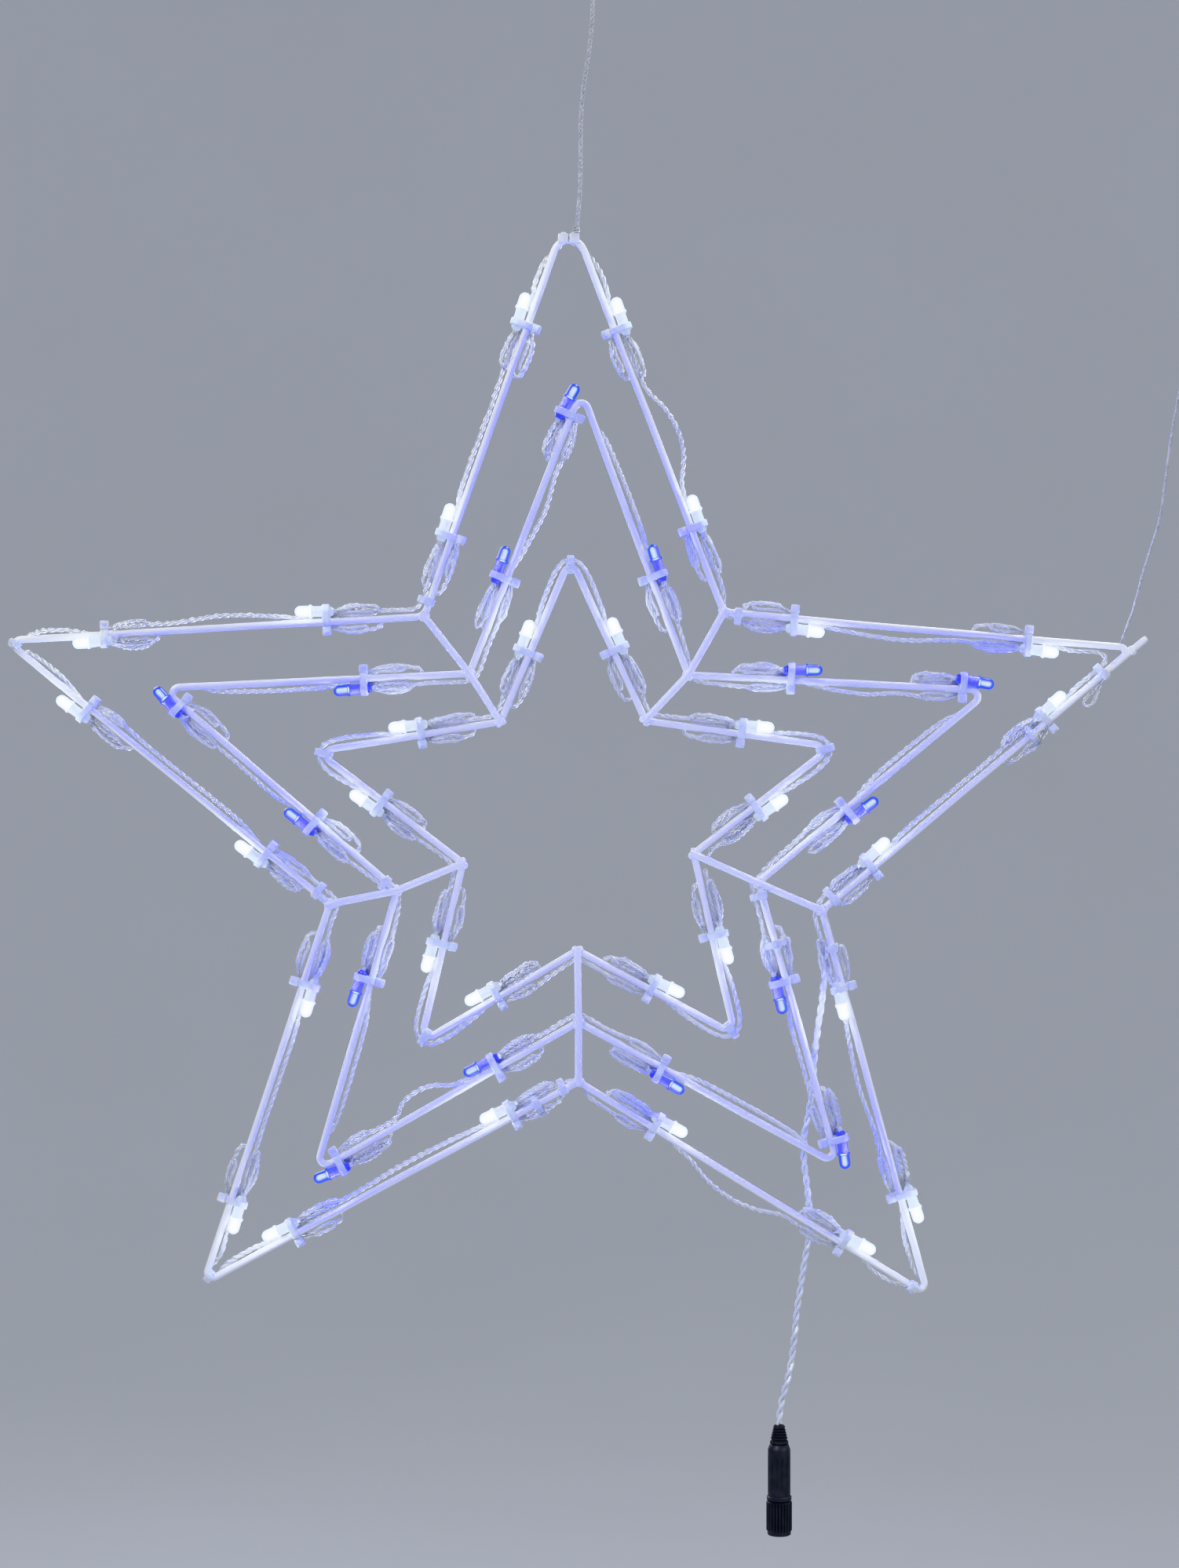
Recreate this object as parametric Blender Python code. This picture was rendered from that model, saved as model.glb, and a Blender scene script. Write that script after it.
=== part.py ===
"""A hanging star of light: three nested wire stars, their five spokes, and the lamps strapped along them.

The stars stand in the XZ plane and are seen from -Y. The origin is the top of the hanging cord.
Distances are in metres.
"""

import math

import bmesh
import bpy
from mathutils import Matrix, Vector
from mathutils.geometry import tessellate_polygon

MM = 0.001

# Clearance between pieces that touch
GAP = 0.3 * MM

# Wire stars: how far the inner star reaches from the centre, and how much further each next star does
ROD_RADIUS = 1.5 * MM
ROD_SIDES = 8
INNER_REACH = 118 * MM
INNER_HOLLOW = 55.5 * MM
REACH_STEP = 72 * MM
HOLLOW_STEP = 30 * MM
OUTER_BEND = 2.5 * MM
MIDDLE_BEND = 3.2 * MM
INNER_BEND = 3.2 * MM
BLUNT_BEND = 7 * MM
HOLLOW_BEND = 5 * MM
BEND_STEPS = 3
WELD_SINK = 0.7 * MM
SPOKE_OVERRUN = 1.5 * MM
ROD_END_OVERRUN = 7 * MM
ARMS = 5

# The rods are bent by hand: share of the reach, and degrees away from the regular star
OUTER_TIP_SHARES = [(1.027, 0.2), (1.0, 0.5), (1.001, -2.3), (1.007, 0.8), (0.994, -1.2)]
OUTER_HOLLOW_SHARES = [(0.958, -0.1), (0.979, 1.5), (1.008, 1.7), (1.024, -2.1), (0.984, -0.6)]
MIDDLE_TIP_SHARES = [(0.998, -1.4), (1.0, 0.3), (1.016, 0.2), (1.02, 1.7), (1.02, -1.0)]
MIDDLE_HOLLOW_SHARES = [(0.915, -1.1), (0.974, 4.5), (1.054, 2.2), (1.024, -0.9), (0.959, -3.3)]
INNER_TIP_SHARES = [(0.978, 0.0), (0.984, 3.2), (1.014, 2.2), (1.02, 1.2), (1.018, -2.7)]
INNER_HOLLOW_SHARES = [(0.95, 0.0), (0.93, 4.5), (1.05, 3.0), (1.017, 2.0), (0.98, -1.2)]

# Lamps: a lens in a clear holder, strapped beside the rod
LAMP_SIDES = 8
LENS_RADIUS = 2.5 * MM
LENS_LENGTH = 6.3 * MM
FLANGE_RADIUS = 2.9 * MM
FLANGE_LENGTH = 1.0 * MM
HOLDER_RADIUS = 2.15 * MM
HOLDER_FRONT = 6.4 * MM
DOME_SHARE = 0.6
DOME_LENGTH = 1.8 * MM
LAMP_SPLAY = math.radians(3)
TIP_SPLAY = math.radians(-8)

# Cable ties
STRAP_WIDTH = 3.6 * MM
STRAP_THICK = 1.2 * MM
STRAP_WEB = 0.55 * MM
STRAP_SIDES = 8
HEAD_LENGTH = 3.4 * MM
HEAD_HALF = 1.8 * MM
TIP_STRAP_HALF = 4.7 * MM
TIP_STRAP_FRONT = 2.6 * MM
TIP_STRAP_BACK = 1.7 * MM

# Light cable, and the small hank of slack behind each lamp
CABLE_RADIUS = 1.2 * MM
CABLE_SPARE = 0.3 * MM
HANK_START = 6.5 * MM
HANK_LENGTH = 17 * MM
HANK_OUT = 3.5 * MM
HANK_BACK = 1.7 * MM
HANK_LEAD_IN = 6 * MM
HANK_CLEAR = 7 * MM
HANK_SHARES = [1.0, 0.88, 1.12, 0.94, 1.05]
HANK_WIDTHS = [1.0, 1.25, 1.05, 1.4, 1.15]
TURN_STEPS = 3
INSIDE_TURN = 3 * MM
HOLLOW_TURN = 4 * MM
JOIN_TURN = 3.5 * MM
PASS_RUN = 5.5 * MM
TIP_RUN = 7.5 * MM
TIP_STEPS = 2
LEAVE_RUN = 6.5 * MM
BOW_REACH = 8 * MM
BOWED = 0.3
STRAIGHT = 0.12
HOLLOW_BACK = 0.6 * MM
CROSS_BACK = 0.6 * MM
START_RUN = 17 * MM
JOIN_RUN = 16 * MM
JOIN_STRAIGHT = 3 * MM

# Where each lamp's lens sits: share of its side from the tip, side of the rod (1 outside), turn to the front
OUTER_LAMPS = [
    [(0.23, 1, 0), (0.75, 1, 0)],
    [(0.18, -1, 50), (0.71, 1, 0)],
    [(0.20, 1, 10), (0.75, 1, 0)],
    [(0.16, -1, 10), (0.73, -1, 0)],
    [(0.19, -1, 0), (0.77, -1, 0)],
    [(0.186, -1, 30), (0.725, -1, 10)],
    [(0.20, 1, 0), (0.74, -1, 55)],
    [(0.22, -1, 20), (0.78, -1, 0)],
    [(0.20, -1, 10), (0.77, -1, 0)],
    [(0.245, 1, 10), (0.736, 1, 20)],
]
MIDDLE_LAMPS = [
    [(0.0, 1, 10), (0.59, 1, 0)],
    [(0.58, -1, 10)],
    [(0.0, 1, 45), (0.58, 1, 0)],
    [(0.60, 1, 0)],
    [(0.0, 1, 10), (0.61, -1, 10)],
    [(0.60, 1, 30)],
    [(0.0, 1, 10), (0.57, -1, 0)],
    [(0.54, 1, 10)],
    [(0.0, 1, 20), (0.58, 1, 10)],
    [(0.58, 1, 20)],
]
INNER_LAMPS = [
    [(0.45, 1, 10)],
    [(0.44, 1, 10)],
    [(0.32, 1, 10)],
    [(0.42, 1, 10)],
    [(0.365, -1, 0)],
    [(0.40, -1, 10)],
    [(0.42, 1, 30)],
    [(0.42, 1, 10)],
    [(0.36, 1, 30)],
    [(0.44, 1, 20)],
]

# Which side of the rod the cable runs on along each side: 1 is outside
OUTER_RUNS = [1, 1, -1, -1, -1, 1, -1, -1, -1, 1]
MIDDLE_RUNS = [-1, -1, 1, -1, -1, -1, -1, -1, -1, 1]
INNER_RUNS = [1] * 10

# How far the cable bows off each side, as a share of BOW_REACH
OUTER_BOW_SHARES = [0.1, 0.25, 0.1, 0.1, 0.15, 0.7, 0.2, 0.1, 0.25, 0.85]
MIDDLE_BOW_SHARES = [0.2, 0.1, 0.1, 0.15, 0.7, 0.15, 0.1, 0.1, 0.15, 0.1]
INNER_BOW_SHARES = [0.1, 0.1, 0.15, 0.1, 0.1, 0.1, 0.15, 0.1, 0.1, 0.15]

# Cords: each route is from where the cord starts on the star
CORD_RADIUS = 1.0 * MM
SIDE_CORD_RADIUS = 0.7 * MM
LEAD_RADIUS = 1.5 * MM
CORD_STEP = 8 * MM
LOOP_RADIUS = 5 * MM
SIDE_LOOP_RADIUS = 4 * MM
LOOP_POINTS = 12
SIDE_CORD_RUN = 6 * MM
HANG_CORD_SIDE = 3.4 * MM
HANG_ROUTE = [(0, 0, 2), (1.4, 0, 17.1), (1.8, 0, 38.3), (1.9, 0, 52.5), (3.5, 0, 68.1), (5.2, 0, 78.2),
              (6.3, 0, 87.9), (7.3, 0, 102.2), (7.3, 0, 105.0), (7.3, 0, 107.0)]
SIDE_ROUTE = [(0.2, 0, 1.5), (5.1, 0, 13.7), (9.6, 0, 30.7), (13.1, 0, 41.5), (17.3, 0, 55.4),
              (19.7, 0, 72.4), (21.8, 0, 88.4), (24.9, 0, 106.4), (28.5, 0, 121.0), (31.2, 0, 132.0),
              (31.9, 0, 138.0), (31.9, 0, 140.0)]
LEAD_ROUTE = [(1.2, 0, -4.4), (0.0, 3.2, -14.5), (-0.9, 6.4, -25.2), (-2.4, 7.4, -35.7), (-3.8, 7.6, -47.1),
              (-4.5, 7.6, -58.9), (-6.2, 7.6, -72.1), (-8.3, 7.6, -82.9), (-8.6, 7.6, -92.9),
              (-6.5, 7.6, -110.7), (-5.8, 7.6, -125.6), (-8.3, 7.4, -138.8), (-10.4, 7.0, -152.7),
              (-11.8, 6.6, -161.0), (-13.1, 6.2, -175.2), (-15.5, 6.0, -190.0), (-18.6, 6.0, -201.0),
              (-19.6, 6.0, -208.0), (-19.6, 6.0, -211.0)]

# Connector on the lead
PLUG_SIDES = 12
BOOT_LENGTH = 8 * MM
BOOT_TOP_RADIUS = 2.4 * MM
BOOT_RADIUS = 4.2 * MM
BODY_RADIUS = 5.0 * MM
BODY_LENGTH = 25 * MM
SHOULDER_RADIUS = 5.5 * MM
SHOULDER_LENGTH = 2.0 * MM
NECK_RADIUS = 3.5 * MM
NECK_LENGTH = 2.0 * MM
NOSE_RADIUS = 4.1 * MM
NOSE_LENGTH = 9 * MM
SOCKET_RADIUS = 3.0 * MM
SOCKET_DEPTH = 6 * MM
INSERT_LENGTH = 3 * MM
PIN_RADIUS = 0.5 * MM
PIN_LENGTH = 2.6 * MM
PIN_SPREAD = 1.1 * MM
RING_RADIUS = 5.2 * MM
RING_RIB = 0.5 * MM
RING_RIBS = 12
RING_LENGTH = 15 * MM

# The cable starts and ends at the hollow on the lower right, and the outer rod is closed at the right tip
START_CORNER = 7
ROD_END_SIDE = 7
SIDE_CORD_SIDE = 8


def clear_scene():
    for old in list(bpy.data.objects):
        bpy.data.objects.remove(old, do_unlink=True)


def material(name, colour, roughness, metallic=0.0, transmission=0.0, glow=0.0):
    made = bpy.data.materials.new(name)
    made.use_nodes = True
    shader = made.node_tree.nodes["Principled BSDF"]
    shader.inputs["Base Color"].default_value = (*colour, 1)
    shader.inputs["Roughness"].default_value = roughness
    shader.inputs["Metallic"].default_value = metallic
    shader.inputs["Transmission Weight"].default_value = transmission
    shader.inputs["Emission Color"].default_value = (*colour, 1)
    shader.inputs["Emission Strength"].default_value = glow
    return made


def add_object(name, data, finish, place):
    made = bpy.data.objects.new(name, data)
    bpy.context.scene.collection.objects.link(made)
    data.materials.append(finish)
    made.location = place
    return made


def mesh_object(name, shape, finish, place):
    """An object from a bmesh, facing out, smooth where its faces meet at a small angle."""
    bmesh.ops.recalc_face_normals(shape, faces=shape.faces)
    data = bpy.data.meshes.new(name)
    shape.to_mesh(data)
    shape.free()
    data.shade_smooth()
    data.set_sharp_from_angle(angle=math.radians(50))
    return add_object(name, data, finish, place)


def bridge(shape, first, second):
    for i, corner in enumerate(first):
        j = (i + 1) % len(first)
        shape.faces.new((corner, first[j], second[j], second[i]))


def fillet(before, here, after, radius, steps):
    """Points round a corner, from where its arc leaves the first line to where it meets the second."""
    into, away = (before - here).normalized(), (after - here).normalized()
    half = into.angle(away) / 2
    axis = into.cross(away).normalized()
    middle = here + (into + away).normalized() * (radius / math.sin(half))
    start = here + into * (radius / math.tan(half)) - middle
    turn = 2 * half - math.pi
    return [middle + Matrix.Rotation(turn * k / steps, 3, axis) @ start for k in range(steps + 1)]


class Star:
    """One wire star: its corners in turn from the top tip anticlockwise, tips even and hollows odd."""

    def __init__(self, name, reach, hollow, tip_shares, hollow_shares, tip_bends, depth):
        self.name = name
        self.bends = []
        self.corners = []
        for arm in range(ARMS):
            for part, (share, off) in enumerate((tip_shares[arm], hollow_shares[arm])):
                size = (reach, hollow)[part] * share
                angle = math.pi / 2 + (2 * arm + part) * math.pi / ARMS + math.radians(off)
                self.corners.append(Vector((size * math.cos(angle), depth, size * math.sin(angle))))
                self.bends.append((tip_bends[arm], HOLLOW_BEND)[part])
        self.count = len(self.corners)

    def side(self, i):
        """The tip that side i runs to, its length, its direction to the tip and its outward normal."""
        first, second = self.corners[i], self.corners[(i + 1) % self.count]
        tip, hollow = (first, second) if i % 2 == 0 else (second, first)
        ahead = (tip - hollow).normalized()
        out = Vector((ahead.z, 0, -ahead.x))
        if out.dot(tip + hollow) < 0:
            out = -out
        return tip, (tip - hollow).length, ahead, out

    def place(self, i, from_tip, out, back):
        """A point beside side i: how far from its tip, out from the rod and back from the star's plane."""
        tip, _, ahead, normal = self.side(i)
        return tip - ahead * from_tip + normal * out + Vector((0, back, 0))

    def around(self, corner):
        """The corner before this one, this one and the one after."""
        return self.corners[corner - 1], self.corners[corner], self.corners[(corner + 1) % self.count]

    def bisector(self, corner):
        """The outward direction at a corner, and the half angle between it and each side."""
        before, here, after = self.around(corner)
        into, away = (before - here).normalized(), (after - here).normalized()
        middle = (into + away).normalized()
        return (-middle if corner % 2 == 0 else middle), into.angle(away) / 2

    def tangent(self, corner):
        """How far from the corner its bend starts."""
        return self.bends[corner] / math.tan(self.bisector(corner)[1])


def rod_path(star):
    """The rod's centre line, its corners rounded."""
    path = []
    for i in range(star.count):
        path += fillet(*star.around(i), star.bends[i], BEND_STEPS if i % 2 == 0 else 1)
    return path


def swept_rod(shape, path, radius, closed):
    """A round rod along a path in the XZ plane, mitred at its points."""
    rings = []
    for i, here in enumerate(path):
        before = path[i - 1] if closed or i > 0 else None
        after = path[(i + 1) % len(path)] if closed or i < len(path) - 1 else None
        into = (here - before).normalized() if before else (after - here).normalized()
        away = (after - here).normalized() if after else into
        ahead = (into + away).normalized()
        across = Vector((0, 1, 0)).cross(ahead).normalized()
        stretch = 1 / max(into.dot(ahead), math.cos(math.pi / 3))
        ring = []
        for k in range(ROD_SIDES):
            angle = 2 * math.pi * k / ROD_SIDES
            offset = across * (radius * stretch * math.cos(angle)) + Vector((0, radius * math.sin(angle), 0))
            ring.append(shape.verts.new(here + offset))
        rings.append(ring)
    for first, second in zip(rings, rings[1:]):
        bridge(shape, first, second)
    if closed:
        bridge(shape, rings[-1], rings[0])
    else:
        shape.faces.new(rings[0])
        shape.faces.new(reversed(rings[-1]))


def helper(name, shape, finish, place):
    made = mesh_object(name, shape, finish, place)
    made.hide_render = True
    made.display_type = "WIRE"
    return made


def unite(target, other):
    modifier = target.modifiers.new("join_" + other.name, "BOOLEAN")
    modifier.operation = "UNION"
    modifier.object = other


def tip_top(star, corner):
    """The outermost point of the rod's centre line at a tip, and the outward direction there."""
    outward, half = star.bisector(corner)
    return star.corners[corner] - outward * (star.bends[corner] * (1 / math.sin(half) - 1)), outward


def tip_strap(star, corner, finish, place):
    """A short tie drawn round both limbs of a tip, where they meet."""
    top, outward = tip_top(star, corner)
    across = Vector((outward.z, 0, -outward.x))
    shape = bmesh.new()
    corners = []
    for out in (ROD_RADIUS + STRAP_THICK, -STRAP_WIDTH / 2):
        for way in (-1, 1):
            for back in (-TIP_STRAP_FRONT, TIP_STRAP_BACK):
                point = top + outward * out + across * (way * TIP_STRAP_HALF) + Vector((0, back, 0))
                corners.append(shape.verts.new(point))
    for face in ((0, 1, 3, 2), (4, 6, 7, 5), (0, 4, 5, 1), (2, 3, 7, 6), (0, 2, 6, 4), (1, 5, 7, 3)):
        shape.faces.new([corners[k] for k in face])
    return helper(f"{star.name}_tip_strap_{corner}", shape, finish, place)


def rod_end(star, finish, place):
    """The end of the outer rod, which runs on past the right tip where the rod is closed."""
    tip, _, ahead, _ = star.side(ROD_END_SIDE)
    shape = bmesh.new()
    swept_rod(shape, [tip - ahead * (2 * ROD_END_OVERRUN), tip + ahead * ROD_END_OVERRUN], ROD_RADIUS, False)
    return helper("outer_rod_end", shape, finish, place)


def build_star(star, finish, place, extras):
    shape = bmesh.new()
    swept_rod(shape, rod_path(star), ROD_RADIUS, True)
    made = mesh_object(star.name + "_star", shape, finish, place)
    for extra in extras:
        unite(made, extra)
    return made


def spoke(arm, stars, front, finish, place):
    """A rod across the hollows of the three stars, laid on their front."""
    points = []
    for star in stars:
        point = star.corners[2 * arm + 1].copy()
        point.y = front
        points.append(point)
    first, last = (points[0] - points[1]).normalized(), (points[2] - points[1]).normalized()
    path = [points[0] + first * SPOKE_OVERRUN, points[1], points[2] + last * SPOKE_OVERRUN]
    shape = bmesh.new()
    swept_rod(shape, path, ROD_RADIUS, False)
    return helper(f"spoke_{arm + 1}", shape, finish, place)


def strap_outline(lamp):
    """The tie's outer line round rod, lamp and cable, with its head beyond the rod, as (out, back) pairs."""
    step = 2 * math.pi / STRAP_SIDES
    edge = ROD_RADIUS + GAP + STRAP_THICK
    circles = (
        (0, 0, edge),
        (*lamp, HOLDER_RADIUS + STRAP_THICK),
        (0, cable_off(), CABLE_RADIUS + GAP + STRAP_THICK),
    )
    line = []
    for k in range(STRAP_SIDES):
        angle = (k + 0.5) * step
        way = (math.cos(angle), math.sin(angle))
        out, back, radius = max(circles, key=lambda c: c[0] * way[0] + c[1] * way[1] + c[2])
        size = radius / math.cos(step / 2)
        line.append((out + size * way[0], back + size * way[1]))
    after = STRAP_SIDES // 2
    line[after:after] = [(-edge - HEAD_LENGTH, HEAD_HALF), (-edge - HEAD_LENGTH, -HEAD_HALF)]
    return line


def rod_hole():
    """The tie's inner line, round the rod and the cable behind it."""
    line = []
    for back, radius, first in ((0, ROD_RADIUS + GAP, math.pi), (cable_off(), CABLE_RADIUS + GAP, 0)):
        for k in range(3):
            angle = first + math.pi * (k + 0.5) / 3
            size = radius / math.cos(math.pi / 6)
            line.append((size * math.cos(angle), back + size * math.sin(angle)))
    return line


def build_lamp(name, star, i, lamp, finish, place):
    """A lens, its holder and the tie that straps it to the rod: one piece with a hole for rod and cable."""
    from_tip, flag, lift = lamp
    lamp_out = ROD_RADIUS + GAP + STRAP_WEB + HOLDER_RADIUS
    at_tip = from_tip < HOLDER_FRONT + FLANGE_LENGTH + LENS_LENGTH
    slope = math.tan(TIP_SPLAY if at_tip else LAMP_SPLAY)
    way = (math.cos(math.radians(lift)), -math.sin(math.radians(lift)))
    shape = bmesh.new()

    def vertex(ahead, out, back):
        return shape.verts.new(star.place(i, from_tip - ahead, flag * out, back))

    def lamp_points(ahead, radius):
        shift = lamp_out + ahead * slope
        turns = [2 * math.pi * (k + 0.5) / LAMP_SIDES for k in range(LAMP_SIDES)]
        return [(shift * way[0] + radius * math.cos(turn), shift * way[1] + radius * math.sin(turn))
                for turn in turns]

    def lamp_ring(ahead, radius):
        return [vertex(ahead, *point) for point in lamp_points(ahead, radius)]

    half = STRAP_WIDTH / 2
    outline = strap_outline((lamp_out * way[0], lamp_out * way[1]))
    caps = []
    for ahead in (-half, half):
        loops = [outline, rod_hole()]
        if ahead > 0:
            loops.append(lamp_points(ahead, HOLDER_RADIUS))
        rings = [[vertex(ahead, *point) for point in loop] for loop in loops]
        corners = [corner for ring in rings for corner in ring]
        for face in tessellate_polygon([[Vector((*point, 0)) for point in loop] for loop in loops]):
            shape.faces.new([corners[k] for k in face])
        caps.append(rings)
    bridge(shape, caps[0][0], caps[1][0])
    bridge(shape, caps[0][1], caps[1][1])
    flange = HOLDER_FRONT + FLANGE_LENGTH
    rings = [
        caps[1][2],
        lamp_ring(HOLDER_FRONT, HOLDER_RADIUS),
        lamp_ring(HOLDER_FRONT + FLANGE_LENGTH / 2, FLANGE_RADIUS),
        lamp_ring(flange, LENS_RADIUS),
        lamp_ring(flange + LENS_LENGTH - DOME_LENGTH, LENS_RADIUS),
        lamp_ring(flange + LENS_LENGTH, LENS_RADIUS * DOME_SHARE),
    ]
    for first, second in zip(rings, rings[1:]):
        bridge(shape, first, second)
    shape.faces.new(rings[-1])
    return mesh_object(name, shape, finish, place)


def cable_off():
    """How far the cable's centre line keeps from the rod's."""
    return ROD_RADIUS + GAP + CABLE_RADIUS + CABLE_SPARE


def lamp_places(star, lamps):
    """Each side's lamps from its hollow on: tie's way from the tip, side of the rod, turn to the front."""
    middle_of_lens = HOLDER_FRONT + FLANGE_LENGTH + LENS_LENGTH / 2
    head = ROD_RADIUS + GAP + STRAP_THICK + HEAD_LENGTH
    places = []
    for i, side_lamps in enumerate(lamps):
        length = star.side(i)[1]
        tip = i if i % 2 == 0 else (i + 1) % star.count
        spread = 2 * star.bisector(tip)[1]
        clear_of_bend = star.tangent(tip) + CABLE_RADIUS
        clear_of_limb = (ROD_RADIUS + 2 * GAP + head * math.cos(spread)) / math.sin(spread)
        least = STRAP_WIDTH / 2 + max(clear_of_bend, clear_of_limb)
        side = [(max(share * length + middle_of_lens, least), flag, lift) for share, flag, lift in side_lamps]
        places.append(sorted(side, reverse=True))
    return places


def beside(star, i, from_tip, flag, turn):
    """A point of the cable on its way round side i's rod: turn 0 is beside it, 90 is straight behind it."""
    off, angle = cable_off(), math.radians(turn)
    return star.place(i, from_tip, flag * off * math.cos(angle), off * math.sin(angle))


def tie_run(star, i, from_tip):
    """The cable straight through a lamp's tie, behind the rod."""
    reach = (STRAP_WIDTH + CABLE_RADIUS) / 2
    return [beside(star, i, from_tip + way * reach, 1, 90) for way in (1, -1)]


def hank_route(star, i, from_tip, run, number):
    """The slack behind one lamp: forward beside the rod, back behind it, and forward on its other side."""
    front = from_tip + HANK_START
    room = star.side(i)[1] - HANK_CLEAR
    rear = min(front + HANK_LENGTH * HANK_SHARES[number % len(HANK_SHARES)], room)
    out = HANK_OUT * HANK_WIDTHS[number % len(HANK_WIDTHS)]
    behind = cable_off() + CABLE_SPARE
    turn = math.hypot(out, behind - HANK_BACK) / 2

    def half_turn(distance, first, last, way):
        """A turn from one run's place to another's: way 1 at the end near the lamp, -1 at the far end."""
        points = []
        for k in range(TURN_STEPS + 1):
            angle = math.pi * k / TURN_STEPS
            part = (1 - math.cos(angle)) / 2
            at = [p + (q - p) * part for p, q in zip(first, last)]
            points.append(star.place(i, distance - way * turn * math.sin(angle), run * at[0], at[1]))
        return points

    points = []
    if rear + HANK_LEAD_IN < room:
        points.append(beside(star, i, rear + HANK_LEAD_IN, run, 0))
    points += half_turn(front + turn, (out, HANK_BACK), (0, behind), 1)
    points += half_turn(rear - turn, (0, behind), (-out, HANK_BACK), -1)
    points.append(star.place(i, front, -run * out, HANK_BACK))
    return points


def leave_tie(star, i, from_tip, run):
    """The cable from behind the rod out to its side again, past the lens."""
    past = from_tip - HOLDER_FRONT - FLANGE_LENGTH - LENS_LENGTH
    return [beside(star, i, past, run, 45), beside(star, i, past - LEAVE_RUN, run, 0)]


def between(star, i, start, end, run, bow):
    """The cable's free stretch from one distance to another, bowed off the rod."""
    def off(part, swell):
        return star.place(i, start + (end - start) * part, run * (cable_off() + swell * bow * BOW_REACH), 0)

    if bow > BOWED:
        return [off(0.25, 0.75), off(0.5, 1), off(0.75, 0.75)]
    return [off(0.5, 1)] if bow > STRAIGHT else []


def offset_corner(star, corner, flag, back):
    """Where the lines beside a corner's two sides cross: on the outside for flag 1, on the inside for -1."""
    outward, half = star.bisector(corner)
    return star.corners[corner] + outward * (flag * cable_off() / math.sin(half)) + Vector((0, back, 0))


def corner_route(star, corner, before, after, style):
    """The cable round a corner, from the side of the rod that it comes on to the side that it leaves on."""
    outward, half = star.bisector(corner)
    previous, here, following = star.around(corner)
    side_in = (corner - 1) % star.count
    lift = Vector((0, cable_off(), 0))

    def step(i, distance, run, turn):
        from_tip = distance if corner % 2 == 0 else star.side(i)[1] - distance
        return beside(star, i, from_tip, run, turn)

    if corner % 2 == 1:
        if before != after:
            return [step(side_in, PASS_RUN, before, 45), here + lift, step(corner, PASS_RUN, after, 45)]
        apex = offset_corner(star, corner, before, HOLLOW_BACK - here.y)
        return fillet(apex + previous - here, apex, apex + following - here, HOLLOW_TURN, 1)
    if style == "inside":
        apex = offset_corner(star, corner, -1, 0)
        return fillet(apex + previous - here, apex, apex + following - here, INSIDE_TURN, BEND_STEPS)
    if style == "outside":
        spread = star.bends[corner] + cable_off() / math.cos((math.pi / 2 - half) / BEND_STEPS)
        apex = here - outward * (star.bends[corner] - spread) / math.sin(half)
        return fillet(apex + previous - here, apex, apex + following - here, spread, BEND_STEPS)
    arc = fillet(previous + lift, here + lift, following + lift, star.bends[corner], TIP_STEPS)
    tangent = star.tangent(corner)
    if style == "lamp":
        nearer = step(side_in, tangent + TIP_RUN, before, 90)
        return [step(side_in, tangent + 2 * TIP_RUN, before, 45), nearer] + arc[:-1]
    way_in = [step(side_in, tangent + 2 * PASS_RUN, before, 0), step(side_in, tangent + PASS_RUN, before, 45)]
    return way_in + arc + [step(corner, tangent + PASS_RUN, after, 45)]


def string_route(star, places, runs, bows, styles, bare=()):
    """The cable of one star, from side 7 round to side 6. Lamps named in bare have no slack behind them."""
    route, number = [], 0
    for n in range(star.count):
        i = (START_CORNER + n) % star.count
        stretch, run = [], runs[i]
        for k, (from_tip, _, _) in enumerate(places[i]):
            number += 1
            if k > 0:
                last = places[i][k - 1][0]
                start = last - HOLDER_FRONT - FLANGE_LENGTH - LENS_LENGTH - LEAVE_RUN
                end = from_tip + HANK_START + HANK_LENGTH + HANK_LEAD_IN
                stretch += leave_tie(star, i, last, run) + between(star, i, start, end, run, bows[i])
            if (i, k) not in bare:
                stretch += hank_route(star, i, from_tip, run, number)
            stretch += tie_run(star, i, from_tip)
        tip = i if i % 2 == 0 else (i + 1) % star.count
        from_tip = places[i][-1][0]
        past = from_tip - HOLDER_FRONT - FLANGE_LENGTH - LENS_LENGTH
        corner_room = star.tangent(tip) + 2 * TIP_RUN
        if past > star.tangent(tip):
            side_again = past - LEAVE_RUN > corner_room
            stretch += leave_tie(star, i, from_tip, run)[:1 + side_again]
        if past - 2 * LEAVE_RUN > corner_room:
            stretch += between(star, i, past - LEAVE_RUN, corner_room, run, bows[i] - BOWED)
        route += stretch[::-1] if i % 2 == 0 else stretch
        if n < star.count - 1:
            after = (i + 1) % star.count
            route += corner_route(star, after, run, runs[after], styles[after % len(styles)])
    return route


def join_line(outer, inner):
    """Where the cable goes in from one star's hollow to the next one's behind the spoke, and its way."""
    start, end = outer.corners[START_CORNER].copy(), inner.corners[START_CORNER].copy()
    start.y = end.y = HOLLOW_BACK
    return start, (end - start).normalized()


def join_end(outer, inner):
    """The last points of one star's cable, straight up to the cut."""
    start, ahead = join_line(outer, inner)
    return [start + ahead * (JOIN_RUN - JOIN_STRAIGHT), start + ahead * JOIN_RUN]


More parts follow.
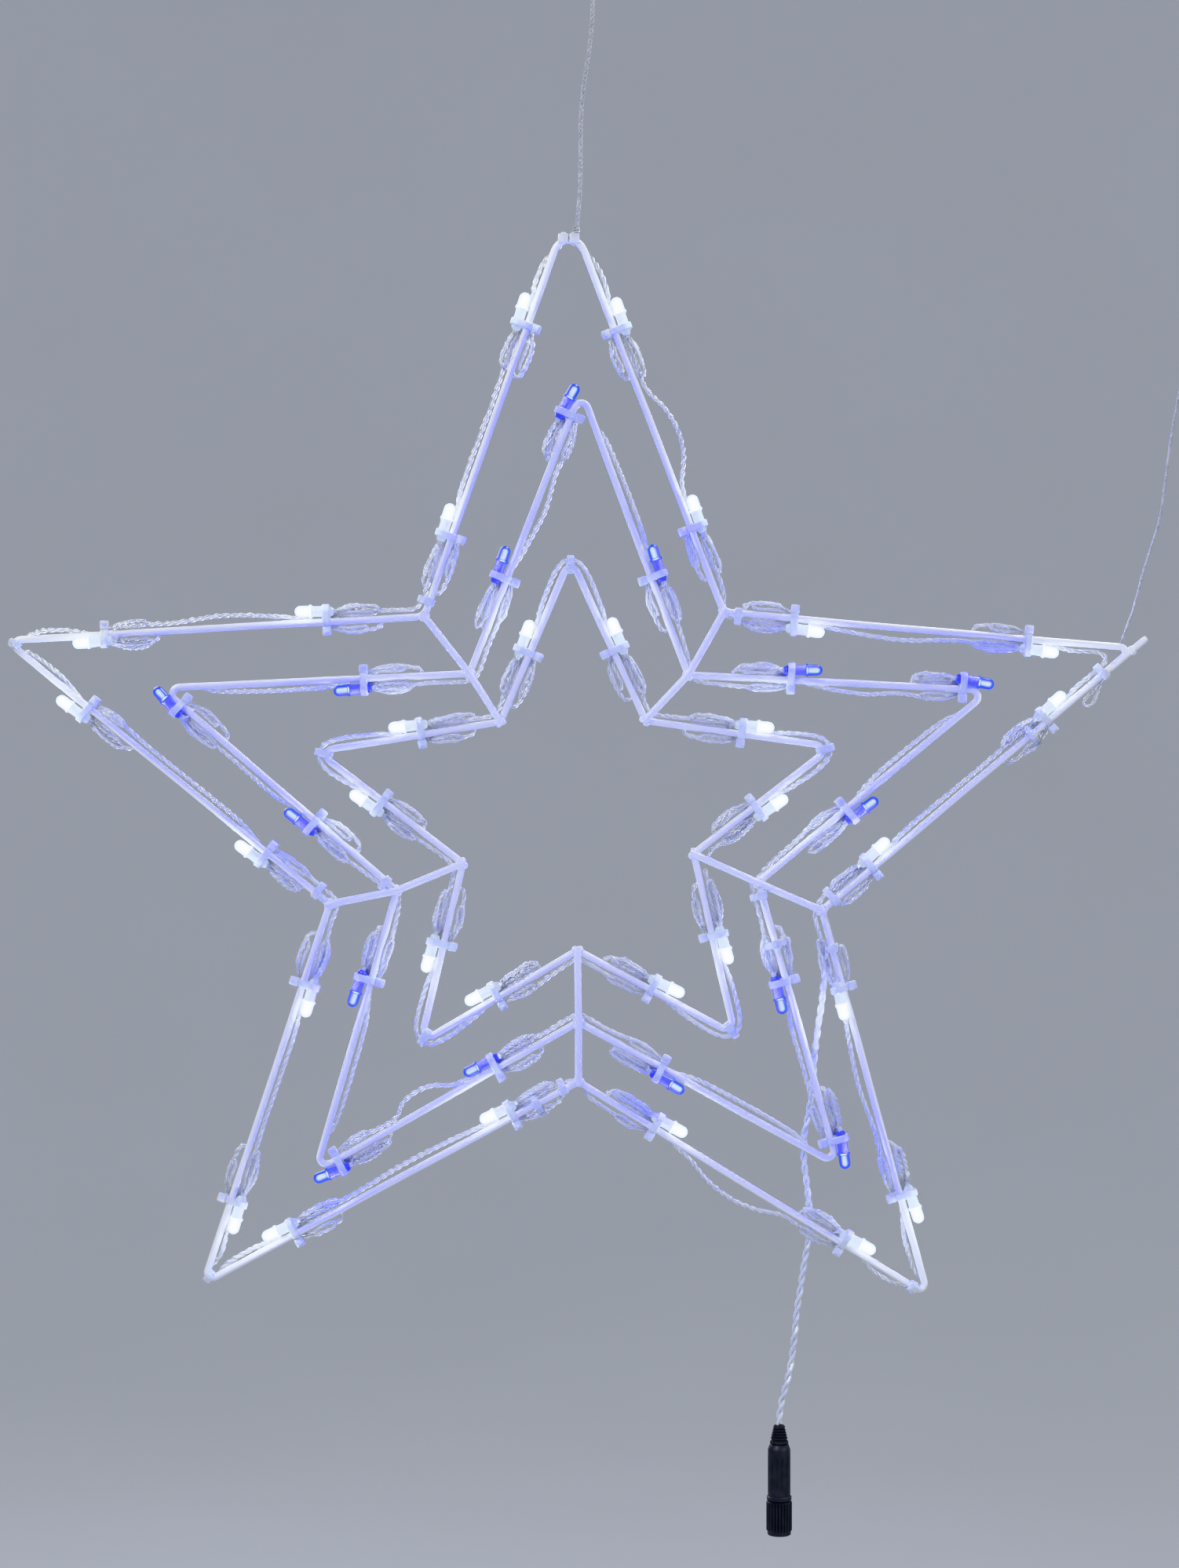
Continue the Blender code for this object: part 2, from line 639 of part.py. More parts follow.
def join_start(outer, inner, run):
    """The first points of the next star's cable, face to face with the cut and round on to side 7."""
    start, ahead = join_line(outer, inner)
    _, here, following = inner.around(START_CORNER)
    cut = start + ahead * (JOIN_RUN + GAP)
    if run < 0:
        over = here + Vector((0, cable_off() + CROSS_BACK, 0))
        out_again = beside(inner, START_CORNER, inner.side(START_CORNER)[1] - PASS_RUN, run, 45)
        return [cut, cut + ahead * JOIN_STRAIGHT, over - ahead * (2 * JOIN_STRAIGHT), over, out_again]
    apex = offset_corner(inner, START_CORNER, 1, HOLLOW_BACK - here.y)
    return [cut] + fillet(cut, apex, apex + following - here, JOIN_TURN, BEND_STEPS)


def outer_string(outer, middle, places, runs, bows):
    """The outer cable, from its joint with the lead on side 6 round to where it goes in along the spoke."""
    last_side = START_CORNER - 1
    off = lead_off()
    start = outer.side(last_side)[1] - START_RUN
    first = [outer.place(last_side, start + run, -off, 0) for run in (0, JOIN_STRAIGHT)]
    first += corner_route(outer, START_CORNER, -1, -1, "")
    styles = ["behind"] * outer.count
    styles[START_CORNER + 1] = "inside"
    route = string_route(outer, places, runs, bows, styles, {(last_side, 0)})
    over = outer.corners[START_CORNER] + Vector((0, cable_off() + CROSS_BACK, 0))
    _, ahead = join_line(outer, middle)
    clear = over + ahead * HANK_CLEAR - Vector((0, CROSS_BACK, 0))
    return first + route + [over, clear] + join_end(outer, middle)


def middle_string(outer, middle, inner, places, runs, bows):
    """The middle cable, from its joint on the spoke round to where it goes further in."""
    route = string_route(middle, places, runs, bows, ["lamp"])
    before, here, _ = middle.around(START_CORNER)
    _, ahead = join_line(middle, inner)
    apex = offset_corner(middle, START_CORNER, -1, HOLLOW_BACK)
    turn = fillet(apex + before - here, apex, apex + ahead * JOIN_RUN, HOLLOW_TURN, 1)
    return join_start(outer, middle, runs[START_CORNER]) + route + turn + join_end(middle, inner)


def lead_off():
    """How far the power lead's centre line keeps from the rod's where it starts."""
    return ROD_RADIUS + GAP + LEAD_RADIUS + CABLE_SPARE


def least_gap(route, radius):
    """The smallest gap between stretches of the cable that aren't next to each other."""
    samples, along = [], 0.0
    for start, end in zip(route, route[1:]):
        for k in range(4):
            samples.append((start.lerp(end, k / 4), along + (end - start).length * k / 4))
        along += (end - start).length
    least = math.inf
    for n, (point, run) in enumerate(samples):
        for other, other_run in samples[n + 1:]:
            if other_run - run > 5 * radius:
                least = min(least, (other - point).length - 2 * radius)
            if other_run - run > 60 * radius:
                break
    return least


def tube(name, points, radius, resolution, finish, place):
    curve = bpy.data.curves.new(name, "CURVE")
    curve.dimensions = "3D"
    curve.bevel_depth = radius
    curve.bevel_resolution = resolution
    curve.use_fill_caps = True
    spline = curve.splines.new("POLY")
    spline.points.add(len(points) - 1)
    for target, point in zip(spline.points, points):
        target.co = (*point, 1)
    return add_object(name, curve, finish, place)


def smooth_points(route, step):
    """Evenly spaced points on the smooth curve through a route, its first and last stretches straight."""
    fine, inner = [], route[1:-1]
    padded = [route[0], *inner, route[-1]]
    for a, b, c, d in zip(padded, padded[1:], padded[2:], padded[3:]):
        for k in range(10):
            t = k / 10
            fine.append(0.5 * (2 * b + (c - a) * t + (2 * a - 5 * b + 4 * c - d) * t**2
                               + (3 * b - a - 3 * c + d) * t**3))
    fine.append(inner[-1])
    length = sum((q - p).length for p, q in zip(fine, fine[1:]))
    count = round(length / step)
    points, run, target = [fine[0]], 0.0, length / count
    for p, q in zip(fine, fine[1:]):
        piece = (q - p).length
        while run + piece >= target and len(points) < count:
            points.append(p.lerp(q, (target - run) / piece))
            target += length / count
        run += piece
    points = [route[0], *points, fine[-1], route[-1]]
    return points, sum((q - p).length for p, q in zip(points, points[1:]))


def from_start(start, first, numbers):
    """A cord's route from where it starts: a straight first step, then the hand-chosen points."""
    return [start, start + first] + [start + Vector(point) * MM for point in numbers]


def cord_loop(name, middle, radius, cord_radius, finish, place):
    """The loop at a cord's end, in which a hook sits."""
    curve = bpy.data.curves.new(name, "CURVE")
    curve.dimensions = "3D"
    curve.bevel_depth = cord_radius
    curve.bevel_resolution = 1
    spline = curve.splines.new("POLY")
    spline.points.add(LOOP_POINTS - 1)
    spline.use_cyclic_u = True
    for k, target in enumerate(spline.points):
        angle = 2 * math.pi * k / LOOP_POINTS
        target.co = (*(middle + Vector((radius * math.sin(angle), 0, -radius * math.cos(angle)))), 1)
    return add_object(name, curve, finish, place)


def turned(profile, sides):
    """A turned piece round the Z axis from (radius, height) pairs, closed from end to start."""
    shape = bmesh.new()
    rings = []
    for radius, height in profile:
        if radius == 0:
            rings.append([shape.verts.new((0, 0, height))])
            continue
        ring = []
        for k in range(sides):
            angle = 2 * math.pi * k / sides
            ring.append(shape.verts.new((radius * math.cos(angle), radius * math.sin(angle), height)))
        rings.append(ring)
    for first, second in zip(rings, rings[1:] + rings[:1]):
        if len(first) == 1 and len(second) == 1:
            continue
        if len(first) > 1 and len(second) > 1:
            bridge(shape, first, second)
            continue
        point, ring = (first[0], second) if len(first) == 1 else (second[0], first)
        for k, corner in enumerate(ring):
            shape.faces.new((point, corner, ring[(k + 1) % sides]))
    return shape


def build_connector(top, dark, black, brass):
    """The in-line connector, from the strain relief down to the coupling ring, from the boot's top down."""
    boot = turned([(0, 0), (BOOT_TOP_RADIUS, 0), (BOOT_RADIUS, -BOOT_LENGTH), (0, -BOOT_LENGTH)], PLUG_SIDES)
    mesh_object("connector_boot", boot, black, top)
    body_top = -BOOT_LENGTH - GAP
    body_end = body_top - BODY_LENGTH
    nose_end = body_end - NOSE_LENGTH
    neck_end = body_end - NECK_LENGTH
    socket_end = nose_end + SOCKET_DEPTH
    flange_top = body_end + SHOULDER_LENGTH
    body = turned(
        [
            (0, body_top), (BOOT_RADIUS, body_top), (BODY_RADIUS, body_top - SHOULDER_LENGTH),
            (BODY_RADIUS, flange_top), (SHOULDER_RADIUS, flange_top), (SHOULDER_RADIUS, body_end),
            (NECK_RADIUS, body_end), (NECK_RADIUS, neck_end), (NOSE_RADIUS, neck_end),
            (NOSE_RADIUS, nose_end), (SOCKET_RADIUS, nose_end), (SOCKET_RADIUS, socket_end), (0, socket_end),
        ],
        PLUG_SIDES,
    )
    mesh_object("connector_body", body, dark, top)

    insert_top = socket_end - GAP
    insert_end = insert_top - INSERT_LENGTH
    insert_radius = SOCKET_RADIUS - GAP
    insert = turned([(0, insert_top), (insert_radius, insert_top),
                     (insert_radius, insert_end), (0, insert_end)], PLUG_SIDES)
    insert_piece = mesh_object("connector_contacts", insert, brass, top)
    for name, way in (("left_pin", -1), ("right_pin", 1)):
        start, end = insert_end + INSERT_LENGTH / 2, insert_end - PIN_LENGTH
        pin = turned([(0, start), (PIN_RADIUS, start), (PIN_RADIUS, end), (0, end)], LAMP_SIDES)
        bmesh.ops.translate(pin, verts=pin.verts, vec=(way * PIN_SPREAD, 0, 0))
        unite(insert_piece, helper(name, pin, brass, top))

    shape = bmesh.new()
    half = RING_LENGTH / 2
    lip = half - NECK_LENGTH + 2 * GAP
    wide = (NOSE_RADIUS + GAP) / math.cos(math.pi / PLUG_SIDES)
    narrow = (NECK_RADIUS + GAP) / math.cos(math.pi / PLUG_SIDES)
    levels = []
    for radius, height, rib in ((RING_RADIUS, half, RING_RIB), (RING_RADIUS, -half, RING_RIB),
                                (wide, -half, 0), (wide, lip, 0), (narrow, lip, 0), (narrow, half, 0)):
        level = []
        for k in range(2 * RING_RIBS):
            angle = math.pi * k / RING_RIBS
            size = radius + (rib if k % 2 == 0 else 0)
            level.append(shape.verts.new((size * math.cos(angle), size * math.sin(angle), height)))
        levels.append(level)
    for first, second in zip(levels, levels[1:] + levels[:1]):
        bridge(shape, first, second)
    ring_place = top + Vector((0, 0, body_end - GAP - half))
    mesh_object("coupling_ring", shape, dark, ring_place)
    return ring_place


def main():
    clear_scene()
    white = material("white_powder_coat", (0.85, 0.86, 0.88), 0.35)
    clear = material("clear_cable", (0.75, 0.78, 0.80), 0.25, transmission=0.3)
    warm = material("lamp_white", (0.95, 0.97, 1.0), 0.15, glow=2.0)
    blue = material("lamp_blue", (0.15, 0.25, 1.0), 0.15, glow=2.0)
    grey = material("grey_cord", (0.35, 0.36, 0.38), 0.8)
    dark = material("dark_plastic", (0.03, 0.03, 0.035), 0.45)
    black = material("black_rubber", (0.02, 0.02, 0.02), 0.7)
    brass = material("contact_metal", (0.80, 0.65, 0.35), 0.3, metallic=1.0)

    spoke_front = -(2 * ROD_RADIUS + GAP)
    inner_depth = spoke_front + 2 * ROD_RADIUS - WELD_SINK
    outer_bends = [BLUNT_BEND] + [OUTER_BEND] * (ARMS - 1)
    outer = Star("outer", INNER_REACH + 2 * REACH_STEP, INNER_HOLLOW + 2 * HOLLOW_STEP, OUTER_TIP_SHARES,
                 OUTER_HOLLOW_SHARES, outer_bends, 0)
    middle = Star("middle", INNER_REACH + REACH_STEP, INNER_HOLLOW + HOLLOW_STEP, MIDDLE_TIP_SHARES,
                  MIDDLE_HOLLOW_SHARES, [MIDDLE_BEND] * ARMS, 0)
    inner = Star("inner", INNER_REACH, INNER_HOLLOW, INNER_TIP_SHARES, INNER_HOLLOW_SHARES,
                 [INNER_BEND] * ARMS, inner_depth)

    top, outward = tip_top(outer, 0)
    across = Vector((outward.z, 0, -outward.x))
    start = top + outward * (ROD_RADIUS + STRAP_THICK + GAP) + across * HANG_CORD_SIDE
    hang_route = from_start(start, outward * CORD_RADIUS, HANG_ROUTE)
    loop_middle = hang_route[-1] + Vector((0, 0, GAP + CORD_RADIUS + LOOP_RADIUS))
    centre = -(loop_middle + Vector((0, 0, LOOP_RADIUS - CORD_RADIUS)))

    build_star(outer, white, centre, [tip_strap(outer, 0, white, centre), rod_end(outer, white, centre)])
    build_star(middle, white, centre, [])
    stars = (inner, middle, outer)
    spokes = [spoke(arm, stars, spoke_front, white, centre) for arm in range(ARMS)]
    build_star(inner, white, centre, spokes)

    all_places = []
    for star, lamps, glow in (
        (outer, OUTER_LAMPS, warm),
        (middle, MIDDLE_LAMPS, blue),
        (inner, INNER_LAMPS, warm),
    ):
        places = lamp_places(star, lamps)
        all_places.append(places)
        number = 0
        for i, side_places in enumerate(places):
            for lamp in reversed(side_places):
                number += 1
                build_lamp(f"{star.name}_lamp_{number:02d}", star, i, lamp, glow, centre)
    routes = (
        outer_string(outer, middle, all_places[0], OUTER_RUNS, OUTER_BOW_SHARES),
        middle_string(outer, middle, inner, all_places[1], MIDDLE_RUNS, MIDDLE_BOW_SHARES),
        join_start(middle, inner, 1)
        + string_route(inner, all_places[2], INNER_RUNS, INNER_BOW_SHARES, ["outside"]),
    )
    for star, route in zip((outer, middle, inner), routes):
        tube(f"{star.name}_light_cable", route, CABLE_RADIUS, 1, clear, centre)
        length = sum((q - p).length for p, q in zip(route, route[1:]))
        gap = least_gap(route, CABLE_RADIUS)
        print(f"{star.name} cable: {length:.2f} m long, least gap to itself {gap / MM:.2f} mm")

    last_side = START_CORNER - 1
    start = outer.place(last_side, outer.side(last_side)[1] - START_RUN - GAP, -lead_off(), 0)
    lead_route = from_start(start, outer.side(last_side)[2] * (2 * LEAD_RADIUS), LEAD_ROUTE)
    _, _, _, normal = outer.side(SIDE_CORD_SIDE)
    start = outer.place(SIDE_CORD_SIDE, SIDE_CORD_RUN, ROD_RADIUS + GAP, 0)
    side_route = from_start(start, normal * SIDE_CORD_RADIUS, SIDE_ROUTE)
    for name, route, radius, finish in (
        ("hanging_cord", hang_route, CORD_RADIUS, grey),
        ("side_cord", side_route, SIDE_CORD_RADIUS, grey),
        ("power_lead", lead_route, LEAD_RADIUS, clear),
    ):
        points, length = smooth_points(route, CORD_STEP)
        tube(name, points, radius, 2, finish, centre)
        print(f"{name}: {length / MM:.0f} mm long, {len(points)} points")
    cord_loop("hanging_loop", loop_middle, LOOP_RADIUS, CORD_RADIUS, grey, centre)
    side_middle = side_route[-1] + Vector((0, 0, GAP + SIDE_CORD_RADIUS + SIDE_LOOP_RADIUS))
    cord_loop("side_loop", side_middle, SIDE_LOOP_RADIUS, SIDE_CORD_RADIUS, grey, centre)

    ring = build_connector(centre + lead_route[-1] - Vector((0, 0, GAP)), dark, black, brass)
    print("star centre:", [round(value, 5) for value in centre])
    print("coupling ring centre:", [round(value, 5) for value in ring])


main()
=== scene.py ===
"""The looks of the hanging star of light: wire stars, clear cable, lit lamps, ties, cords and connector."""

import math

import bmesh
import bpy
import numpy as np
from mathutils import Matrix, Vector, noise


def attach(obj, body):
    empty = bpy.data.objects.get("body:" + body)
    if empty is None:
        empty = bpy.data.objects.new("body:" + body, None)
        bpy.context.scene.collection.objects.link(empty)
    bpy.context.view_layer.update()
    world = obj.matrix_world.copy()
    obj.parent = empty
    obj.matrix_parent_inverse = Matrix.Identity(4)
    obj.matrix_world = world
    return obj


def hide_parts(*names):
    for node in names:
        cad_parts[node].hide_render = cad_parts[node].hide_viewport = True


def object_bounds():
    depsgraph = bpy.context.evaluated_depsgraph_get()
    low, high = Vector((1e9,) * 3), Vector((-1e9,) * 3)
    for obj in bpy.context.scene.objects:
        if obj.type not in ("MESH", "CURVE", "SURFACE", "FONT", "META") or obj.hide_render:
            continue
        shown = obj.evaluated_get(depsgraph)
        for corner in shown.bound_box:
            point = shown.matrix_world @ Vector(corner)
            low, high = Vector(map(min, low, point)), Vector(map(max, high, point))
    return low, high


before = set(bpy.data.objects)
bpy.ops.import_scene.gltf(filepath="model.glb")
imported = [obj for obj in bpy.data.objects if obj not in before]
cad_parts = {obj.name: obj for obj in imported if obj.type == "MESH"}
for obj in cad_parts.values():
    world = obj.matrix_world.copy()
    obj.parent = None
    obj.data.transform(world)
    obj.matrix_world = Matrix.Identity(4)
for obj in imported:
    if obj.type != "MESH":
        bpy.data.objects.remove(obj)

cad_low, cad_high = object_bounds()

MM = 0.001

# Clearance between pieces that touch
GAP = 0.3 * MM

# Wire stars: how far the inner star reaches from the centre, and how much further each next star does
ROD_RADIUS = 1.5 * MM
INNER_REACH = 118 * MM
INNER_HOLLOW = 55.5 * MM
REACH_STEP = 72 * MM
HOLLOW_STEP = 30 * MM
OUTER_BEND = 2.5 * MM
MIDDLE_BEND = 3.2 * MM
INNER_BEND = 3.2 * MM
BLUNT_BEND = 7 * MM
HOLLOW_BEND = 5 * MM
BEND_STEPS = 3
WELD_SINK = 0.7 * MM
SPOKE_OVERRUN = 1.5 * MM
ROD_END_OVERRUN = 7 * MM
ARMS = 5

# The rods are bent by hand: share of the reach, and degrees away from the regular star
OUTER_TIP_SHARES = [(1.027, 0.2), (1.0, 0.5), (1.001, -2.3), (1.007, 0.8), (0.994, -1.2)]
OUTER_HOLLOW_SHARES = [(0.958, -0.1), (0.979, 1.5), (1.008, 1.7), (1.024, -2.1), (0.984, -0.6)]
MIDDLE_TIP_SHARES = [(0.998, -1.4), (1.0, 0.3), (1.016, 0.2), (1.02, 1.7), (1.02, -1.0)]
MIDDLE_HOLLOW_SHARES = [(0.915, -1.1), (0.974, 4.5), (1.054, 2.2), (1.024, -0.9), (0.959, -3.3)]
INNER_TIP_SHARES = [(0.978, 0.0), (0.984, 3.2), (1.014, 2.2), (1.02, 1.2), (1.018, -2.7)]
INNER_HOLLOW_SHARES = [(0.95, 0.0), (0.93, 4.5), (1.05, 3.0), (1.017, 2.0), (0.98, -1.2)]

# Lamps: a lens in a clear holder, strapped beside the rod
LENS_RADIUS = 2.5 * MM
LENS_LENGTH = 6.3 * MM
FLANGE_RADIUS = 2.9 * MM
FLANGE_LENGTH = 1.0 * MM
HOLDER_RADIUS = 2.15 * MM
HOLDER_FRONT = 6.4 * MM
FLANGE_END = HOLDER_FRONT + FLANGE_LENGTH
LENS_END = FLANGE_END + LENS_LENGTH
LAMP_SPLAY = math.radians(3)
TIP_SPLAY = math.radians(-8)

# Cable ties
STRAP_WIDTH = 3.6 * MM
STRAP_THICK = 1.2 * MM
STRAP_WEB = 0.55 * MM
HEAD_LENGTH = 3.4 * MM
HEAD_HALF = 1.8 * MM
TIP_STRAP_HALF = 4.7 * MM
TIP_STRAP_FRONT = 2.6 * MM
TIP_STRAP_BACK = 1.7 * MM

# Light cable, and the small hank of slack behind each lamp
CABLE_RADIUS = 1.2 * MM
CABLE_SPARE = 0.3 * MM
HANK_START = 6.5 * MM
HANK_LENGTH = 17 * MM
HANK_OUT = 3.5 * MM
HANK_BACK = 1.7 * MM
HANK_LEAD_IN = 6 * MM
HANK_CLEAR = 7 * MM
HANK_SHARES = [1.0, 0.88, 1.12, 0.94, 1.05]
HANK_WIDTHS = [1.0, 1.25, 1.05, 1.4, 1.15]
TURN_STEPS = 3
INSIDE_TURN = 3 * MM
HOLLOW_TURN = 4 * MM
JOIN_TURN = 3.5 * MM
PASS_RUN = 5.5 * MM
TIP_RUN = 7.5 * MM
TIP_STEPS = 2
LEAVE_RUN = 6.5 * MM
BOW_REACH = 8 * MM
BOWED = 0.3
STRAIGHT = 0.12
HOLLOW_BACK = 0.6 * MM
CROSS_BACK = 0.6 * MM
START_RUN = 17 * MM
JOIN_RUN = 16 * MM
JOIN_STRAIGHT = 3 * MM

# Where each lamp's lens sits: share of its side from the tip, side of the rod (1 outside), turn to the front
OUTER_LAMPS = [
    [(0.23, 1, 0), (0.75, 1, 0)],
    [(0.18, -1, 50), (0.71, 1, 0)],
    [(0.20, 1, 10), (0.75, 1, 0)],
    [(0.16, -1, 10), (0.73, -1, 0)],
    [(0.19, -1, 0), (0.77, -1, 0)],
    [(0.186, -1, 30), (0.725, -1, 10)],
    [(0.20, 1, 0), (0.74, -1, 55)],
    [(0.22, -1, 20), (0.78, -1, 0)],
    [(0.20, -1, 10), (0.77, -1, 0)],
    [(0.245, 1, 10), (0.736, 1, 20)],
]
MIDDLE_LAMPS = [
    [(0.0, 1, 10), (0.59, 1, 0)],
    [(0.58, -1, 10)],
    [(0.0, 1, 45), (0.58, 1, 0)],
    [(0.60, 1, 0)],
    [(0.0, 1, 10), (0.61, -1, 10)],
    [(0.60, 1, 30)],
    [(0.0, 1, 10), (0.57, -1, 0)],
    [(0.54, 1, 10)],
    [(0.0, 1, 20), (0.58, 1, 10)],
    [(0.58, 1, 20)],
]
INNER_LAMPS = [
    [(0.45, 1, 10)],
    [(0.44, 1, 10)],
    [(0.32, 1, 10)],
    [(0.42, 1, 10)],
    [(0.365, -1, 0)],
    [(0.40, -1, 10)],
    [(0.42, 1, 30)],
    [(0.42, 1, 10)],
    [(0.36, 1, 30)],
    [(0.44, 1, 20)],
]

# Which side of the rod the cable runs on along each side: 1 is outside
OUTER_RUNS = [1, 1, -1, -1, -1, 1, -1, -1, -1, 1]
MIDDLE_RUNS = [-1, -1, 1, -1, -1, -1, -1, -1, -1, 1]
INNER_RUNS = [1] * 10

# How far the cable bows off each side, as a share of BOW_REACH
OUTER_BOW_SHARES = [0.1, 0.25, 0.1, 0.1, 0.15, 0.7, 0.2, 0.1, 0.25, 0.85]
MIDDLE_BOW_SHARES = [0.2, 0.1, 0.1, 0.15, 0.7, 0.15, 0.1, 0.1, 0.15, 0.1]
INNER_BOW_SHARES = [0.1, 0.1, 0.15, 0.1, 0.1, 0.1, 0.15, 0.1, 0.1, 0.15]

# Cords: each route is from where the cord starts on the star
CORD_RADIUS = 1.0 * MM
SIDE_CORD_RADIUS = 0.7 * MM
LEAD_RADIUS = 1.5 * MM
CORD_STEP = 8 * MM
LOOP_RADIUS = 5 * MM
SIDE_LOOP_RADIUS = 4 * MM
SIDE_CORD_RUN = 6 * MM
HANG_CORD_SIDE = 3.4 * MM
HANG_ROUTE = [(0, 0, 2), (1.4, 0, 17.1), (1.8, 0, 38.3), (1.9, 0, 52.5), (3.5, 0, 68.1), (5.2, 0, 78.2),
              (6.3, 0, 87.9), (7.3, 0, 102.2), (7.3, 0, 105.0), (7.3, 0, 107.0)]
SIDE_ROUTE = [(0.2, 0, 1.5), (5.1, 0, 13.7), (9.6, 0, 30.7), (13.1, 0, 41.5), (17.3, 0, 55.4),
              (19.7, 0, 72.4), (21.8, 0, 88.4), (24.9, 0, 106.4), (28.5, 0, 121.0), (31.2, 0, 132.0),
              (31.9, 0, 138.0), (31.9, 0, 140.0)]
LEAD_ROUTE = [(1.2, 0, -4.4), (0.0, 3.2, -14.5), (-0.9, 6.4, -25.2), (-2.4, 7.4, -35.7), (-3.8, 7.6, -47.1),
              (-4.5, 7.6, -58.9), (-6.2, 7.6, -72.1), (-8.3, 7.6, -82.9), (-8.6, 7.6, -92.9),
              (-6.5, 7.6, -110.7), (-5.8, 7.6, -125.6), (-8.3, 7.4, -138.8), (-10.4, 7.0, -152.7),
              (-11.8, 6.6, -161.0), (-13.1, 6.2, -175.2), (-15.5, 6.0, -190.0), (-18.6, 6.0, -201.0),
              (-19.6, 6.0, -208.0), (-19.6, 6.0, -211.0)]

# Connector on the lead
BOOT_LENGTH = 8 * MM
BOOT_TOP_RADIUS = 2.4 * MM
BOOT_RADIUS = 4.2 * MM
BODY_RADIUS = 5.0 * MM
BODY_LENGTH = 25 * MM
SHOULDER_RADIUS = 5.5 * MM
SHOULDER_LENGTH = 2.0 * MM
NECK_RADIUS = 3.5 * MM
NECK_LENGTH = 2.0 * MM
NOSE_RADIUS = 4.1 * MM
NOSE_LENGTH = 9 * MM
SOCKET_RADIUS = 3.0 * MM
SOCKET_DEPTH = 6 * MM
INSERT_LENGTH = 3 * MM
PIN_RADIUS = 0.5 * MM
PIN_LENGTH = 2.6 * MM
PIN_SPREAD = 1.1 * MM
RING_RADIUS = 5.2 * MM
RING_RIB = 0.5 * MM
RING_LENGTH = 15 * MM

# The cable starts and ends at the hollow on the lower right, and the outer rod is closed at the right tip
START_CORNER = 7
ROD_END_SIDE = 7
SIDE_CORD_SIDE = 8

# The photograph: image size, scale at the star, where the star's centre stands, and the camera
IMAGE_SIZE = (1502, 1998)
PIXELS_PER_M = 2880.0
STAR_PIXEL = (727.0, 1043.0)
LENS_MM = 70.0
SENSOR_MM = 36.0
CLIP_NEAR = 0.01
CLIP_FAR = 50.0

# Rods: points round a section, on a tip's bend, on a hollow's and along a straight, and how far a rod wanders
ROD_RING = 16
BEND_FINE = 9
HOLLOW_FINE = 5
STRAIGHT_FINE = 9
WAVE_SCALE = 18
WAVE_REACH = 0.35 * MM
SPOKE_STEP = 3.0 * MM
STUB_STEPS = 6
STUB_CUT_SHARE = 0.82
SPOKE_CUT_SHARE = 0.85

# Weld beads: half sizes, places and lumps
END_WELD = (2.3 * MM, 1.9 * MM, 2.2 * MM)
END_WELD_BACK = 1.5 * MM
END_WELD_SEED = 3.1
SPOKE_WELD = (1.5 * MM, 1.25 * MM, 1.5 * MM)
SPOKE_WELD_SIDE = 1.1 * MM
SPOKE_WELD_BACK = 0.4 * MM
SPOKE_WELD_SEED = 0.37
LUMP_SHARE = 0.16
LUMP_SCALE = 1.7

# Strands of the light cable and of the slack, and how fine their curves are
STRAND_RADIUS = 0.58 * MM
STRAND_PITCH = 7.5 * MM
STRAND_STEP = 0.9 * MM
STRAND_SIDES = 6
CURVE_STEP = 0.4 * MM
LEAST_STEP = 0.2 * MM
SLACK_STRAND = 0.46 * MM
SLACK_PITCH = 5.5 * MM
SLACK_SWAY = 0.5 * MM
SWAY_TURN = 1.7

# Each loop of slack: the lamp's side or the other, how far out, half its width, how far back, share of a hank
SLACK_LOOPS = [(1, 4.4 * MM, 1.2 * MM, -0.9 * MM, 0.95), (-1, 4.0 * MM, 1.1 * MM, -0.7 * MM, 0.7),
               (1, 5.4 * MM, 1.0 * MM, 1.6 * MM, 0.75), (1, 3.1 * MM, 0.8 * MM, -0.3 * MM, 0.84)]
# Where a loop is held in the tie and where it leaves and comes back: how far along, and how far back
SLACK_HELD = [(-2.0 * MM, 2.9 * MM), (-2.0 * MM, 2.6 * MM)]
SLACK_FREE = [(-6.5 * MM, 0.8 * MM), (-7.5 * MM, 0.6 * MM)]
# The small loop of spare cable at the right tip: its place as a share of the side, and its points in mm
TIP_LOOP_SHARE = 0.12
TIP_LOOP = [(3, 1.0, 3.2), (-1, 3.4, 2.4), (-6, 6.2, 1.0), (-9.5, 7.0, 0.2), (-11.5, 5.0, 0.0),
            (-9.5, 3.4, 0.6), (-5, 3.0, 1.8), (0.0, 1.8, 3.0), (3, -0.5, 3.4)]

# Lamps: a fine lip that their steps are worked out from, the sleeve, the legs and what light they shed
LAMP_RING = 18
LIP = 0.2 * MM
DOME_RADIUS = 0.985 * LENS_RADIUS
DOME_POINTS = 7
DOME_STEPS = 6.4
SLEEVE_SEAM = 1.6 * MM
SLEEVE_END = 3.4 * MM
LEG_START = 3.2 * MM
LEG_END = 8.5 * MM
LEG_RUNS = (1.4 * MM, 1.2 * MM)
LEG_RADIUS = 0.5 * MM
LEG_STEP = 0.7 * MM
SPILL_OUT = 10 * MM
SPILL_FRONT = 5 * MM
SPILL_SIZE = 1.5 * MM
SPILL_POWER = 0.035
CAST_POWER = 0.05
CAST_AWAY = 55 * MM
BLUE_SPILL_SHARE = 2.0
BACK_CAST_SHARE = 0.6

# Ties
TIE_WIDTH = 3.0 * MM
TIE_THICK = 1.0 * MM
TIE_STEPS = 36
TIE_GRASP = 6 * MM
TIE_CLEARANCE = 0.05 * MM
TIE_EDGE = 0.28 * TIE_THICK
CIRCLE_STEPS = 48
